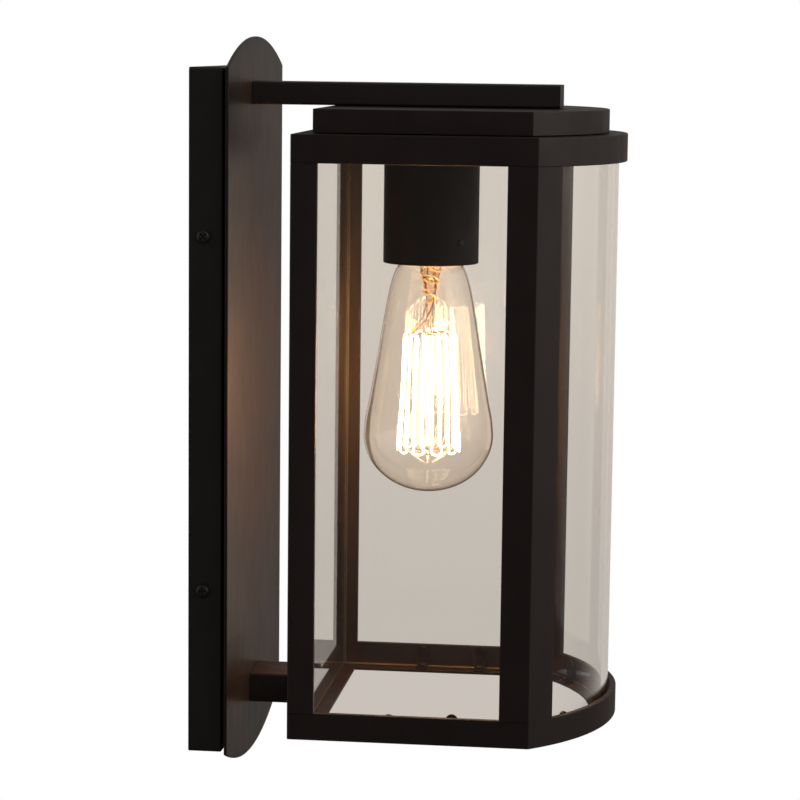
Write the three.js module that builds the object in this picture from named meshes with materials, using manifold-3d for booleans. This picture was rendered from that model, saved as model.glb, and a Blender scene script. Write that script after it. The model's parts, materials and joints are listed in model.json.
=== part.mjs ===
// Outdoor wall lantern: a glazed steel body with a bowed front, held off an arched wall
// plate by two flat arms, with a screw-in lamp hanging inside and an open bottom.
//
// Millimetres, +Z up. The wall is the plane Y = 0 and the lantern stands out towards -Y.
// The origin is the centre of the mounting bracket's back face, on the wall.

import * as THREE from "three";
import { mergeVertices } from "three/addons/utils/BufferGeometryUtils.js";
import Module from "manifold-3d";

const wasm = await Module();
wasm.setup();

// ---------------------------------------------------------------- driving dimensions

const GAP = 0.3; // clearance between pieces that touch on the real object
const SHEET = 1.5; // pressed steel sheet

const PLATE = { halfWidth: 76.5, straight: 163, arch: 14.4, front: -19.6, thick: 1.5 };
const BOX = { halfWidth: 72, halfHeight: 163, wall: 1.2, shoulder: -16.2, step: 3.4, lip: 7.2 };
const BODY = { halfWidth: 80, rear: -49, corner: -163.8, bowRadius: 104.15, bottom: -153, top: 133 };
const RAIL = { thick: 3, topHeight: 13.4, bottomHeight: 13.1, flange: 12.75 };
const POST = { rearLeg: 12.7, sideLeg: 14, bowLeg: 14.6 };
const ROOF = { inset: 9, height: 11.5 };
const UPPER_ARM = { width: 29, height: 11, wall: 1.2, bottom: 144.8, end: -169.2 };
const LOWER_ARM = { width: 29, height: 14.5, wall: 1.2, bottom: -152 };
const GLASS = { thick: 3, bowGap: 1, top: 129 };
const LAMP_Y = (BODY.rear + BODY.corner) / 2; // the lamp hangs midway along the straight sides
const COVER = { radius: 23.3, wall: 1.2, mouth: 68.6 };
const NIPPLE = { radius: 5, bore: 3.6, bottom: 119, top: 150.3 };
const HOLDER = { radius: 19.2, bottom: 71, top: 111, bore: 14.5, floor: 102 };
const BULB = { radius: 32, widest: -16.5, tip: -44.5, neckRadius: 11.6, capBottom: 71.5, contact: 98 };
const CAGE = { topRadius: 12.8, bottomRadius: 15.6, top: 33, bottom: -24, strands: 20, wire: 0.35 };
const SIDE_SCREW = { y: -7.2, z: 84.3 };
const CLIP = { width: 6, thick: 1, foot: 5 };
const SIDE_CLIPS = [
  { name: "rear", y: -97, top: -140.3 },
  { name: "front", y: -127, top: -139.1 },
];
const FRONT_CLIP = { halfSpan: 54, top: -140.2 };
const LEAD_RADIUS = 1;
const LEAD_PAIR = 1.35; // each lead's distance from the middle where the two run together

// ---------------------------------------------------------------- materials

function material(color, roughness, metalness, opacity = 1) {
  return new THREE.MeshStandardMaterial({
    color, roughness, metalness, opacity, transparent: opacity < 1,
  });
}

const BLACK = material(0x1c1817, 0.55, 0.3);
const ZINC = material(0xb4b7ba, 0.4, 0.9);
const BRASS = material(0xb9964f, 0.35, 0.9);
const GLASS_CLEAR = material(0xdcd9d2, 0.05, 0, 0.3);
const BULB_GLASS = material(0xe6d3ad, 0.05, 0, 0.3);
const PORCELAIN = material(0xe9e6de, 0.25, 0);
const FOAM = material(0x2b2b2b, 0.95, 0);
const NYLON = material(0xe4e1d6, 0.5, 0);
const BASE_GLASS = material(0x1b1420, 0.15, 0);
const GREEN = material(0x2f7a3d, 0.45, 0.6);
const GLOW = material(0xffd9a0, 0.5, 0.2);
const LEAD_BLACK = material(0x202020, 0.55, 0);
const LEAD_WHITE = material(0xe8e6df, 0.55, 0);

// ---------------------------------------------------------------- solids

const lantern = new THREE.Group();

function add(name, geometry, finish, x = 0, y = 0, z = 0) {
  const mesh = new THREE.Mesh(geometry, finish.clone());
  mesh.name = name;
  mesh.position.set(x, y, z);
  lantern.add(mesh);
  return mesh;
}

function toSolid(geometry) {
  const bare = geometry.clone();
  bare.deleteAttribute("normal");
  bare.deleteAttribute("uv");
  const merged = mergeVertices(bare, 1e-4);
  return new wasm.Manifold(new wasm.Mesh({
    numProp: 3,
    vertProperties: new Float32Array(merged.attributes.position.array),
    triVerts: new Uint32Array(merged.index.array),
  }));
}

function toGeometry(solid) {
  const mesh = solid.getMesh();
  const geometry = new THREE.BufferGeometry();
  geometry.setAttribute("position", new THREE.BufferAttribute(mesh.vertProperties, 3));
  geometry.setIndex(new THREE.BufferAttribute(mesh.triVerts, 1));
  geometry.computeVertexNormals();
  return geometry;
}

function cut(body, ...tools) {
  return toGeometry(tools.reduce((left, tool) => left.subtract(toSolid(tool)), toSolid(body)));
}

function join(body, ...others) {
  return toGeometry(others.reduce((sum, other) => sum.add(toSolid(other)), toSolid(body)));
}

// A block between two corners.
function block(x0, x1, y0, y1, z0, z1) {
  const box = new THREE.BoxGeometry(Math.abs(x1 - x0), Math.abs(y1 - y0), Math.abs(z1 - z0));
  return box.translate((x0 + x1) / 2, (y0 + y1) / 2, (z0 + z1) / 2);
}

// A round bar along X, Y or Z between two coordinates on that axis, through point (u, v)
// given in the other two axes' order.
function bar(axis, radius, from, to, u = 0, v = 0, sides = 16) {
  const rod = new THREE.CylinderGeometry(radius, radius, Math.abs(to - from), sides);
  const middle = (from + to) / 2;
  if (axis === "x") return rod.rotateZ(Math.PI / 2).translate(middle, u, v);
  if (axis === "y") return rod.translate(u, middle, v);
  return rod.rotateX(Math.PI / 2).translate(u, v, middle);
}

// An outline drawn in plan (X, Y), raised from one height to another.
function raise(outline, z0, z1) {
  const geometry = new THREE.ExtrudeGeometry(outline, {
    depth: z1 - z0, bevelEnabled: false, curveSegments: 16,
  });
  return geometry.translate(0, 0, z0);
}

// An outline drawn upright in (X, Z), given a thickness from one Y to a lower Y.
function stand(outline, y0, y1) {
  const geometry = new THREE.ExtrudeGeometry(outline, {
    depth: y0 - y1, bevelEnabled: false, curveSegments: 10,
  });
  return geometry.rotateX(Math.PI / 2).translate(0, y0, 0);
}

// A profile of [radius, z] points turned about the vertical axis.
function turn(profile, sides = 32) {
  const points = profile.map(([radius, z]) => new THREE.Vector2(radius, z));
  return new THREE.LatheGeometry(points, sides).rotateX(Math.PI / 2);
}

// A closed ring profile turned about the vertical axis.
function turnRing(profile, sides = 32) {
  return turn([...profile, profile[0]], sides);
}

function rectangle(halfWidth, halfHeight) {
  return new THREE.Shape([
    new THREE.Vector2(-halfWidth, -halfHeight), new THREE.Vector2(halfWidth, -halfHeight),
    new THREE.Vector2(halfWidth, halfHeight), new THREE.Vector2(-halfWidth, halfHeight),
  ]);
}

// ---------------------------------------------------------------- plan of the lantern body

// The bow's centre lies on the centre line, so that the bow meets the straight sides
// at the front corners.
const BOW_CENTRE = BODY.corner + Math.sqrt(BODY.bowRadius ** 2 - BODY.halfWidth ** 2);

function bowY(x, radius) {
  return BOW_CENTRE - Math.sqrt(radius ** 2 - x ** 2);
}

// The body's plan outline, moved in by `inset` all round.
function bodyPlan(inset) {
  const half = BODY.halfWidth - inset;
  const rear = BODY.rear - inset;
  const radius = BODY.bowRadius - inset;
  const spread = Math.asin(half / radius);
  const plan = new THREE.Shape();
  plan.moveTo(half, rear);
  plan.lineTo(-half, rear);
  plan.lineTo(-half, bowY(half, radius));
  plan.absarc(0, BOW_CENTRE, radius, -Math.PI / 2 - spread, -Math.PI / 2 + spread, false);
  plan.lineTo(half, rear);
  return plan;
}

function bodyRing(outerInset, innerInset, z0, z1) {
  const ring = bodyPlan(outerInset);
  ring.holes.push(bodyPlan(innerInset));
  return raise(ring, z0, z1);
}

// A band that follows the bow, from one angle off the centre line to another.
function bowBand(outer, inner, fromAngle, toAngle) {
  const band = new THREE.Shape();
  band.absarc(0, BOW_CENTRE, outer, -Math.PI / 2 + fromAngle, -Math.PI / 2 + toAngle, false);
  band.absarc(0, BOW_CENTRE, inner, -Math.PI / 2 + toAngle, -Math.PI / 2 + fromAngle, true);
  return band;
}

// ---------------------------------------------------------------- fasteners

// A pan-head screw pointing along -Z from its head's seat at the origin; the head has a
// cross recess.
function panScrew(radius, length, headRadius, headHeight) {
  const screw = turn([
    [0, -length], [radius, -length], [radius, 0], [headRadius, 0],
    [headRadius, headHeight * 0.5], [headRadius * 0.75, headHeight], [0, headHeight],
  ], 12);
  const slot = headRadius * 0.55;
  const depth = headHeight * 0.5;
  return cut(
    screw,
    block(-slot, slot, -slot * 0.2, slot * 0.2, headHeight - depth, headHeight + 1),
    block(-slot * 0.2, slot * 0.2, -slot, slot, headHeight - depth, headHeight + 1),
  );
}

// A hexagon-head bolt pointing along -Y from its head's seat at the origin.
function hexBolt(radius, length, acrossFlats, headHeight) {
  const head = new THREE.CylinderGeometry(
    acrossFlats / Math.sqrt(3), acrossFlats / Math.sqrt(3), headHeight, 6,
  ).translate(0, headHeight / 2, 0);
  return join(head, bar("y", radius, -length, 0.1, 0, 0, 16));
}

// A hexagon nut standing on the origin, axis along Z.
function hexNut(hole, acrossFlats, height) {
  const nut = new THREE.CylinderGeometry(
    acrossFlats / Math.sqrt(3), acrossFlats / Math.sqrt(3), height, 6,
  ).rotateX(Math.PI / 2).translate(0, 0, height / 2);
  return cut(nut, bar("z", hole, -1, height + 1));
}

// ---------------------------------------------------------------- wall side

const BOX_DEPTH = PLATE.front + PLATE.thick + GAP; // the box's front face, just behind the plate
const BRACKET = { thick: 1.8, spine: 20, halfHeight: 130, ear: 8, tabOuter: 66.5, tabDepth: -14 };
const TERMINAL = { z: 112, halfWidth: 9, halfHeight: 15, depth: 11 };
const TAPPED = 1.95; // hole radius round the small screws
const SIDE_SCREW_RADIUS = TAPPED - GAP;
const UPPER_ARM_MID = UPPER_ARM.bottom + UPPER_ARM.height / 2;
const LOWER_ARM_MID = LOWER_ARM.bottom + LOWER_ARM.height / 2;
const UPPER_BOLT = { x: 9, radius: 1.9, hole: 2.2 };
const LOWER_BOLT = { radius: 2.4, hole: 2.7 };
const WIRE_HOLE = 3.4;

function mountingBracket() {
  const outline = rectangle(BRACKET.spine, BRACKET.halfHeight);
  outline.holes.push(slotHole(44.5), slotHole(-44.5), roundHole(0, 22, 9));
  const { ear, tabOuter, tabDepth, thick } = BRACKET;
  const ears = [];
  for (const z of [-SIDE_SCREW.z, SIDE_SCREW.z]) {
    ears.push(block(-tabOuter, tabOuter, -thick, 0, z - ear, z + ear));
    for (const side of [-1, 1]) {
      ears.push(block(side * (tabOuter - thick), side * tabOuter, tabDepth, 0, z - ear, z + ear));
    }
  }
  const holes = [];
  for (const z of [-SIDE_SCREW.z, SIDE_SCREW.z]) {
    holes.push(bar("x", TAPPED, -BOX.halfWidth, BOX.halfWidth, SIDE_SCREW.y, z, 16));
  }
  holes.push(bar("y", TAPPED, -5, 5, 0, 62, 16));
  return cut(join(stand(outline, 0, -thick), ...ears), ...holes);
}

function slotHole(z) {
  const half = 5;
  const radius = 2.6;
  const slot = new THREE.Path();
  slot.absarc(half, z, radius, -Math.PI / 2, Math.PI / 2, false);
  slot.absarc(-half, z, radius, Math.PI / 2, Math.PI * 1.5, false);
  slot.closePath();
  return slot;
}

function roundHole(x, z, radius) {
  const hole = new THREE.Path();
  hole.absarc(x, z, radius, 0, Math.PI * 2, false);
  return hole;
}

function wallGasket() {
  const outer = { width: BOX.halfWidth - BOX.wall - GAP, height: BOX.halfHeight - BOX.wall - GAP };
  const strip = 3.6;
  const ring = rectangle(outer.width, outer.height);
  ring.holes.push(rectangle(outer.width - strip, outer.height - strip));
  return stand(ring, 0, -3);
}

function backBox() {
  const { wall, shoulder, step, lip } = BOX;
  const ring = (from, to, back, front) => {
    const outline = rectangle(BOX.halfWidth - from, BOX.halfHeight - from);
    outline.holes.push(rectangle(BOX.halfWidth - to, BOX.halfHeight - to));
    return stand(outline, back, front);
  };
  const holes = [-SIDE_SCREW.z, SIDE_SCREW.z].map(
    (z) => bar("x", TAPPED, -BOX.halfWidth - 2, BOX.halfWidth + 2, SIDE_SCREW.y, z, 16),
  );
  const shell = join(
    ring(0, wall, 0, shoulder), ring(0, step + wall, shoulder + wall, shoulder),
    ring(step, step + wall, shoulder + wall, BOX_DEPTH), ring(step, lip, BOX_DEPTH + wall, BOX_DEPTH),
  );
  return cut(shell, ...holes);
}

function facePlate() {
  const { halfWidth, straight, arch, front, thick } = PLATE;
  const radius = (halfWidth ** 2 + arch ** 2) / (2 * arch);
  const spread = Math.asin(halfWidth / radius);
  const centre = straight + arch - radius;
  const outline = new THREE.Shape();
  outline.absarc(0, centre, radius, Math.PI / 2 - spread, Math.PI / 2 + spread, false);
  outline.absarc(0, -centre, radius, -Math.PI / 2 - spread, -Math.PI / 2 + spread, false);
  outline.closePath();
  outline.holes.push(
    roundHole(0, UPPER_ARM_MID, WIRE_HOLE),
    roundHole(-UPPER_BOLT.x, UPPER_ARM_MID, UPPER_BOLT.hole),
    roundHole(UPPER_BOLT.x, UPPER_ARM_MID, UPPER_BOLT.hole),
    roundHole(0, LOWER_ARM_MID, LOWER_BOLT.hole),
  );
  return stand(outline, front + thick, front);
}

function terminalBlock() {
  const { z, halfWidth, halfHeight, depth } = TERMINAL;
  const rear = -GAP - BRACKET.thick;
  const front = rear - depth;
  const body = block(-halfWidth, halfWidth, front, rear, z - halfHeight, z + halfHeight);
  const cuts = [];
  for (const offset of [-9, 0, 9]) {
    for (const side of [-1, 1]) {
      cuts.push(bar("x", 1.5, side * 2, side * (halfWidth + 1), rear - 4, z + offset, 10));
      cuts.push(bar("y", 1.9, front - 1, front + 3, side * 4.5, z + offset, 10));
    }
  }
  return cut(body, ...cuts);
}

add("mounting_bracket", mountingBracket(), ZINC);
add("wall_gasket", wallGasket(), FOAM);
add("back_box", backBox(), BLACK);
add("face_plate", facePlate(), BLACK);
add("terminal_block", terminalBlock(), NYLON);
add(
  "ground_screw", panScrew(SIDE_SCREW_RADIUS, 1.6, 3.6, 2).rotateX(Math.PI / 2),
  GREEN, 0, -BRACKET.thick - GAP, 62,
);
for (const [side, sign] of [["left", -1], ["right", 1]]) {
  for (const [level, z] of [["lower", -SIDE_SCREW.z], ["upper", SIDE_SCREW.z]]) {
    const screw = panScrew(SIDE_SCREW_RADIUS, 10.5, 3.3, 2).rotateY(sign * Math.PI / 2);
    add(`box_screw_${side}_${level}`, screw, BLACK, sign * (BOX.halfWidth + GAP), SIDE_SCREW.y, z);
  }
}

// ---------------------------------------------------------------- arms

function armTube({ width, height, wall, bottom }, y0, y1) {
  const half = width / 2;
  return cut(
    block(-half, half, y1, y0, bottom, bottom + height),
    block(-half + wall, half - wall, y1 - 1, y0 + 1, bottom + wall, bottom + height - wall),
  );
}

const ARM_REAR = PLATE.front - GAP;
const CAP_THICK = 1.2;

function upperArm() {
  return cut(
    armTube(UPPER_ARM, ARM_REAR, UPPER_ARM.end + CAP_THICK + GAP),
    bar("z", NIPPLE.radius + GAP, UPPER_ARM.bottom - 1, UPPER_ARM.bottom + 2, 0, LAMP_Y),
  );
}

// The threaded block welded into the rear end of an arm.
function armInsert({ width, height, wall, bottom }, bolts, wireHole) {
  const half = width / 2 - wall - GAP;
  const middle = bottom + height / 2;
  const rear = ARM_REAR - GAP;
  const body = block(
    -half, half, rear - 12, rear, bottom + wall + GAP, bottom + height - wall - GAP,
  );
  const holes = bolts.map(([x, radius]) => bar("y", radius, rear - 13, rear + 1, x, middle, 16));
  if (wireHole) holes.push(bar("y", wireHole, rear - 13, rear + 1, 0, middle));
  return cut(body, ...holes);
}

add("upper_arm", upperArm(), BLACK);
add("upper_arm_insert", armInsert(
  UPPER_ARM, [[-UPPER_BOLT.x, UPPER_BOLT.hole], [UPPER_BOLT.x, UPPER_BOLT.hole]], WIRE_HOLE,
), ZINC);
add("upper_arm_end_cap", block(
  -UPPER_ARM.width / 2, UPPER_ARM.width / 2, UPPER_ARM.end, UPPER_ARM.end + CAP_THICK,
  UPPER_ARM.bottom, UPPER_ARM.bottom + UPPER_ARM.height,
), BLACK);
for (const [side, sign] of [["left", -1], ["right", 1]]) {
  add(
    `upper_arm_bolt_${side}`, hexBolt(UPPER_BOLT.radius, 11, 7, 2.8), ZINC,
    sign * UPPER_BOLT.x, PLATE.front + PLATE.thick + GAP, UPPER_ARM_MID,
  );
}
add("lower_arm", armTube(LOWER_ARM, ARM_REAR, BODY.rear + GAP), BLACK);
add("lower_arm_insert", armInsert(LOWER_ARM, [[0, LOWER_BOLT.hole]]), ZINC);
add(
  "lower_arm_bolt", hexBolt(LOWER_BOLT.radius, 12, 8, 3.5), ZINC,
  0, PLATE.front + PLATE.thick + GAP, LOWER_ARM_MID,
);

// ---------------------------------------------------------------- lantern frame

const POST_BOTTOM = BODY.bottom + RAIL.bottomHeight + GAP;
const POST_TOP = BODY.top - RAIL.topHeight - GAP;
const CEILING = BODY.top - SHEET;
const NIPPLE_HOLE = bar("z", NIPPLE.radius + GAP, BODY.top - 20, BODY.top + 20, 0, LAMP_Y);

function topFrame() {
  const rim = bodyRing(0, RAIL.thick, BODY.top - RAIL.topHeight, BODY.top);
  return cut(join(rim, raise(bodyPlan(0), CEILING, BODY.top)), NIPPLE_HOLE);
}

function roofCap() {
  const bottom = BODY.top + GAP;
  const top = BODY.top + ROOF.height;
  const rim = bodyRing(ROOF.inset, ROOF.inset + SHEET, bottom, top);
  return cut(join(rim, raise(bodyPlan(ROOF.inset), top - SHEET, top)), NIPPLE_HOLE);
}

function bottomFrame() {
  const rim = bodyRing(0, RAIL.thick, BODY.bottom, BODY.bottom + RAIL.bottomHeight);
  const flange = bodyRing(0, RAIL.flange, BODY.bottom, BODY.bottom + SHEET);
  const { bottom } = BODY;
  const holes = clipSpots().map(
    ({ screwX, screwY }) => bar("z", CLIP_SCREW + GAP, bottom - 1, bottom + 3, screwX, screwY, 12),
  );
  return cut(join(rim, flange), ...holes);
}

// The right-hand rear post, an angle section.
function rearPost() {
  const { halfWidth, rear } = BODY;
  const corner = new THREE.Shape();
  corner.moveTo(halfWidth, rear);
  corner.lineTo(halfWidth - POST.rearLeg, rear);
  corner.lineTo(halfWidth - POST.rearLeg, rear - RAIL.thick);
  corner.lineTo(halfWidth - RAIL.thick, rear - RAIL.thick);
  corner.lineTo(halfWidth - RAIL.thick, rear - POST.rearLeg);
  corner.lineTo(halfWidth, rear - POST.rearLeg);
  corner.closePath();
  return raise(corner, POST_BOTTOM, POST_TOP);
}

const CORNER_ANGLE = Math.asin(BODY.halfWidth / BODY.bowRadius);

// The right-hand front post: one leg along the side, the other along the bow.
function frontPost() {
  const { halfWidth, corner, bowRadius } = BODY;
  const inner = bowRadius - RAIL.thick;
  const innerX = halfWidth - RAIL.thick;
  const legEnd = CORNER_ANGLE - POST.bowLeg / bowRadius;
  const innerCorner = Math.asin(innerX / inner);
  const post = new THREE.Shape();
  post.moveTo(innerX, corner + POST.sideLeg);
  post.lineTo(innerX, bowY(innerX, inner));
  post.absarc(0, BOW_CENTRE, inner, -Math.PI / 2 + innerCorner, -Math.PI / 2 + legEnd, true);
  post.absarc(0, BOW_CENTRE, bowRadius, -Math.PI / 2 + legEnd, -Math.PI / 2 + CORNER_ANGLE, false);
  post.lineTo(halfWidth, corner + POST.sideLeg);
  post.closePath();
  return new THREE.ExtrudeGeometry(post, {
    depth: POST_TOP - POST_BOTTOM, bevelEnabled: false, curveSegments: 6,
  }).translate(0, 0, POST_BOTTOM);
}

// The same geometry on the other side of the centre line.
function mirrorX(geometry) {
  const flipped = geometry.clone().scale(-1, 1, 1);
  const order = flipped.index
    ? Array.from(flipped.index.array)
    : Array.from({ length: flipped.attributes.position.count }, (_, i) => i);
  for (let i = 0; i < order.length; i += 3) {
    [order[i + 1], order[i + 2]] = [order[i + 2], order[i + 1]];
  }
  flipped.setIndex(order);
  flipped.computeVertexNormals();
  return flipped;
}

// ---------------------------------------------------------------- glass and its clips

const CLIP_SCREW = 1.25;
const PANE_OUTER = BODY.halfWidth - RAIL.thick - GAP; // outer face of a side pane, from the middle
const PANE_INNER = PANE_OUTER - GLASS.thick;
const REAR_PANE = BODY.rear - RAIL.thick - GAP;
const PANE_BOTTOM = BODY.bottom + SHEET + GAP;
const BOW_PANE = BODY.bowRadius - RAIL.thick - GLASS.bowGap;
const PANE_END = CORNER_ANGLE - 0.033; // the bowed pane stops just short of the corner

// Where each clip stands: its name, turn about Z, place of the pane's face and of its screw.
function clipSpots() {
  const reach = CLIP.thick + CLIP.foot / 2;
  const spots = [];
  for (const [side, sign] of [["left", -1], ["right", 1]]) {
    for (const clip of SIDE_CLIPS) {
      spots.push({
        name: `${side}_${clip.name}`, angle: sign > 0 ? Math.PI / 2 : -Math.PI / 2,
        x: sign * (PANE_INNER - GAP), y: clip.y, top: clip.top,
      });
    }
    const tilt = Math.asin(FRONT_CLIP.halfSpan / (BOW_PANE - GLASS.thick));
    const radius = BOW_PANE - GLASS.thick - GAP;
    spots.push({
      name: `bow_${side}`, angle: sign * tilt,
      x: sign * radius * Math.sin(tilt), y: BOW_CENTRE - radius * Math.cos(tilt), top: FRONT_CLIP.top,
    });
  }
  for (const spot of spots) {
    spot.screwX = spot.x - reach * Math.sin(spot.angle);
    spot.screwY = spot.y + reach * Math.cos(spot.angle);
  }
  return spots;
}

// An L-shaped clip: a round-topped leg against the pane (at Y = 0, facing +Y) and a foot.
function clipShape(top) {
  const half = CLIP.width / 2;
  const legTop = top - half;
  const leg = new THREE.Shape();
  leg.moveTo(-half, PANE_BOTTOM);
  leg.lineTo(half, PANE_BOTTOM);
  leg.lineTo(half, legTop);
  leg.absarc(0, legTop, half, 0, Math.PI, false);
  leg.closePath();
  const upright = new THREE.ExtrudeGeometry(leg, {
    depth: CLIP.thick, bevelEnabled: false, curveSegments: 8,
  }).rotateX(Math.PI / 2).translate(0, CLIP.thick, 0);
  const foot = block(-half, half, 0, CLIP.thick + CLIP.foot, PANE_BOTTOM, PANE_BOTTOM + CLIP.thick);
  const holeY = CLIP.thick + CLIP.foot / 2;
  const hole = bar("z", CLIP_SCREW + GAP, PANE_BOTTOM - 1, PANE_BOTTOM + 3, 0, holeY, 12);
  return cut(join(upright, foot), hole);
}

// A flat side pane, from just behind the front corner to just in front of the rear pane.
function sidePane(sign) {
  const rear = REAR_PANE - GLASS.thick - GAP;
  const front = BODY.corner + 4;
  return block(sign * PANE_INNER, sign * PANE_OUTER, front, rear, PANE_BOTTOM, GLASS.top);
}

add("bottom_frame", bottomFrame(), BLACK);
add("top_frame", topFrame(), BLACK);
add("roof_cap", roofCap(), BLACK);
for (const [side, sign] of [["left", -1], ["right", 1]]) {
  add(`rear_post_${side}`, sign > 0 ? rearPost() : mirrorX(rearPost()), BLACK);
  add(`front_post_${side}`, sign > 0 ? frontPost() : mirrorX(frontPost()), BLACK);
  add(`side_glass_${side}`, sidePane(sign), GLASS_CLEAR);
}
add("rear_glass", block(
  -PANE_OUTER + GAP, PANE_OUTER - GAP, REAR_PANE - GLASS.thick, REAR_PANE, PANE_BOTTOM, GLASS.top,
), GLASS_CLEAR);
add("front_glass", raise(
  bowBand(BOW_PANE, BOW_PANE - GLASS.thick, -PANE_END, PANE_END), PANE_BOTTOM, GLASS.top,
), GLASS_CLEAR);
for (const spot of clipSpots()) {
  const clip = clipShape(spot.top).rotateZ(spot.angle);
  add(`glass_clip_${spot.name}`, clip, BLACK, spot.x, spot.y, 0);
  add(
    `clip_screw_${spot.name}`, panScrew(CLIP_SCREW, 2.6, 2.1, 1.4), BLACK,
    spot.screwX, spot.screwY, PANE_BOTTOM + CLIP.thick + GAP,
  );
}

// ---------------------------------------------------------------- lamp holder

const NUT = { flats: 14, height: 2.6 };
const YOKE = { width: 12, thick: 1.2, reach: 14 };
const SHELL = { outer: 14.1, inner: 13.5 };
const COVER_TOP = CEILING - GAP;
const COVER_SCREW = { angle: 0.76, z: 79.8, radius: 1.1, head: 1.5 }; // angle from -X towards -Y
const LEAD_X = 8.5; // where the leads enter the porcelain
const LEAD_HOLE = LEAD_RADIUS + GAP;

// The hole for the set screw that holds the cover on the porcelain.
function coverScrewHole(from, to) {
  return bar("x", COVER_SCREW.radius + GAP, from, to, 0, COVER_SCREW.z, 12)
    .rotateZ(Math.PI + COVER_SCREW.angle);
}

function socketCover() {
  const { radius, wall, mouth } = COVER;
  const inner = radius - wall;
  const hole = NIPPLE.radius + GAP;
  const cup = turnRing([
    [inner, mouth], [radius, mouth], [radius, COVER_TOP], [hole, COVER_TOP],
    [hole, COVER_TOP - wall], [inner, COVER_TOP - wall],
  ], 48);
  return cut(cup, coverScrewHole(radius - 4, radius + 4));
}

function lampHolder() {
  const { radius, bottom, top, bore, floor } = HOLDER;
  const body = turn([
    [0, floor], [bore, floor], [bore, bottom], [radius - 1, bottom], [radius, bottom + 1],
    [radius, top - 2], [radius - 2, top], [0, top],
  ], 40);
  const leadHoles = [-LEAD_X, LEAD_X].map(
    (x) => bar("z", LEAD_HOLE, floor + 2, top + 1, x, 0, 12),
  );
  return cut(body, ...leadHoles, coverScrewHole(radius - 3, radius + 4));
}

// The strap that hangs the porcelain from the nipple, open at the sides for the leads.
function holderYoke() {
  const { width, thick, reach } = YOKE;
  const half = width / 2;
  const low = HOLDER.top + GAP;
  const high = NIPPLE.bottom + 4;
  const frame = cut(
    block(-half, half, -reach, reach, low, high),
    block(-half - 1, half + 1, -reach + thick, reach - thick, low + thick, high - thick),
  );
  return cut(frame, bar("z", NIPPLE.radius + GAP, NIPPLE.bottom - 1, high + 1));
}

function screwShell() {
  const low = HOLDER.bottom + 2;
  const high = HOLDER.floor - 4;
  const { inner, outer } = SHELL;
  return turnRing([[inner, low], [outer, low], [outer, high], [inner, high]], 40);
}

// The sprung tongue over the lamp's contact, bowed down in the middle.
function centreContact() {
  const tongue = new THREE.Shape();
  const seat = HOLDER.floor - GAP;
  tongue.moveTo(-8, seat);
  tongue.lineTo(-8, seat - 0.6);
  tongue.quadraticCurveTo(0, seat - 5.4, 8, seat - 0.6);
  tongue.lineTo(8, seat);
  tongue.quadraticCurveTo(0, seat - 4.8, -8, seat);
  return new THREE.ExtrudeGeometry(tongue, { depth: 5, bevelEnabled: false, curveSegments: 8 })
    .rotateX(Math.PI / 2).translate(0, 2.5, 0);
}

add("socket_cover", socketCover(), BLACK, 0, LAMP_Y, 0);
add("lamp_holder", lampHolder(), PORCELAIN, 0, LAMP_Y, 0);
add("holder_yoke", holderYoke(), ZINC, 0, LAMP_Y, 0);
add("screw_shell", screwShell(), BRASS, 0, LAMP_Y, 0);
add("centre_contact", centreContact(), BRASS, 0, LAMP_Y, 0);
add("threaded_nipple", turnRing([
  [NIPPLE.bore, NIPPLE.bottom], [NIPPLE.radius, NIPPLE.bottom],
  [NIPPLE.radius, NIPPLE.top], [NIPPLE.bore, NIPPLE.top],
], 24), ZINC, 0, LAMP_Y, 0);
add(
  "nipple_nut_upper", hexNut(NIPPLE.radius + GAP, NUT.flats, NUT.height), ZINC,
  0, LAMP_Y, UPPER_ARM.bottom + UPPER_ARM.wall + GAP,
);
add(
  "nipple_nut_lower", hexNut(NIPPLE.radius + GAP, NUT.flats, NUT.height), ZINC,
  0, LAMP_Y, COVER_TOP - COVER.wall - GAP - NUT.height,
);
add(
  "cover_screw",
  panScrew(COVER_SCREW.radius, 4.4, COVER_SCREW.head, 1)
    .rotateY(Math.PI / 2).translate(COVER.radius + GAP, 0, COVER_SCREW.z)
    .rotateZ(Math.PI + COVER_SCREW.angle),
  BLACK, 0, LAMP_Y, 0,
);

// ---------------------------------------------------------------- leads

// The live and neutral leads run from the terminal block, through the plate and along the
// upper arm, then down the nipple and out of the yoke into the porcelain.
function leadRoute(sign) {
  const terminalY = -GAP - BRACKET.thick - 4;
  const near = sign * LEAD_PAIR;
  return [
    [sign * 4, terminalY, TERMINAL.z],
    [sign * 13, terminalY, TERMINAL.z],
    [sign * 17, -6.5, 117],
    [sign * 15.5, -7.5, 129],
    [sign * 8.5, -9, 140.5],
    [sign * 2.6, -11.5, 147.5],
    [near, -15, UPPER_ARM_MID - 0.4],
    [near, PLATE.front, UPPER_ARM_MID],
    [near, PLATE.front - 14, UPPER_ARM_MID],
    [near, (PLATE.front + LAMP_Y) / 2, UPPER_ARM_MID - 1],
    [near, LAMP_Y + 12, NIPPLE.top + 2],
    [near, LAMP_Y + 4.3, NIPPLE.top + 2.8],
    [near, LAMP_Y + 1, NIPPLE.top + 0.8],
    [near, LAMP_Y + 0.2, NIPPLE.top - 2.3],
    [near, LAMP_Y, NIPPLE.top - 7],
    [near, LAMP_Y, NIPPLE.bottom + 5],
    [near, LAMP_Y, NIPPLE.bottom + 0.8],
    [sign * 4.5, LAMP_Y, NIPPLE.bottom - 2.2],
    [sign * LEAD_X, LAMP_Y, HOLDER.top + 1.5],
    [sign * LEAD_X, LAMP_Y, HOLDER.floor + 4.5],
  ].map(([x, y, z]) => new THREE.Vector3(x, y, z));
}

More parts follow.
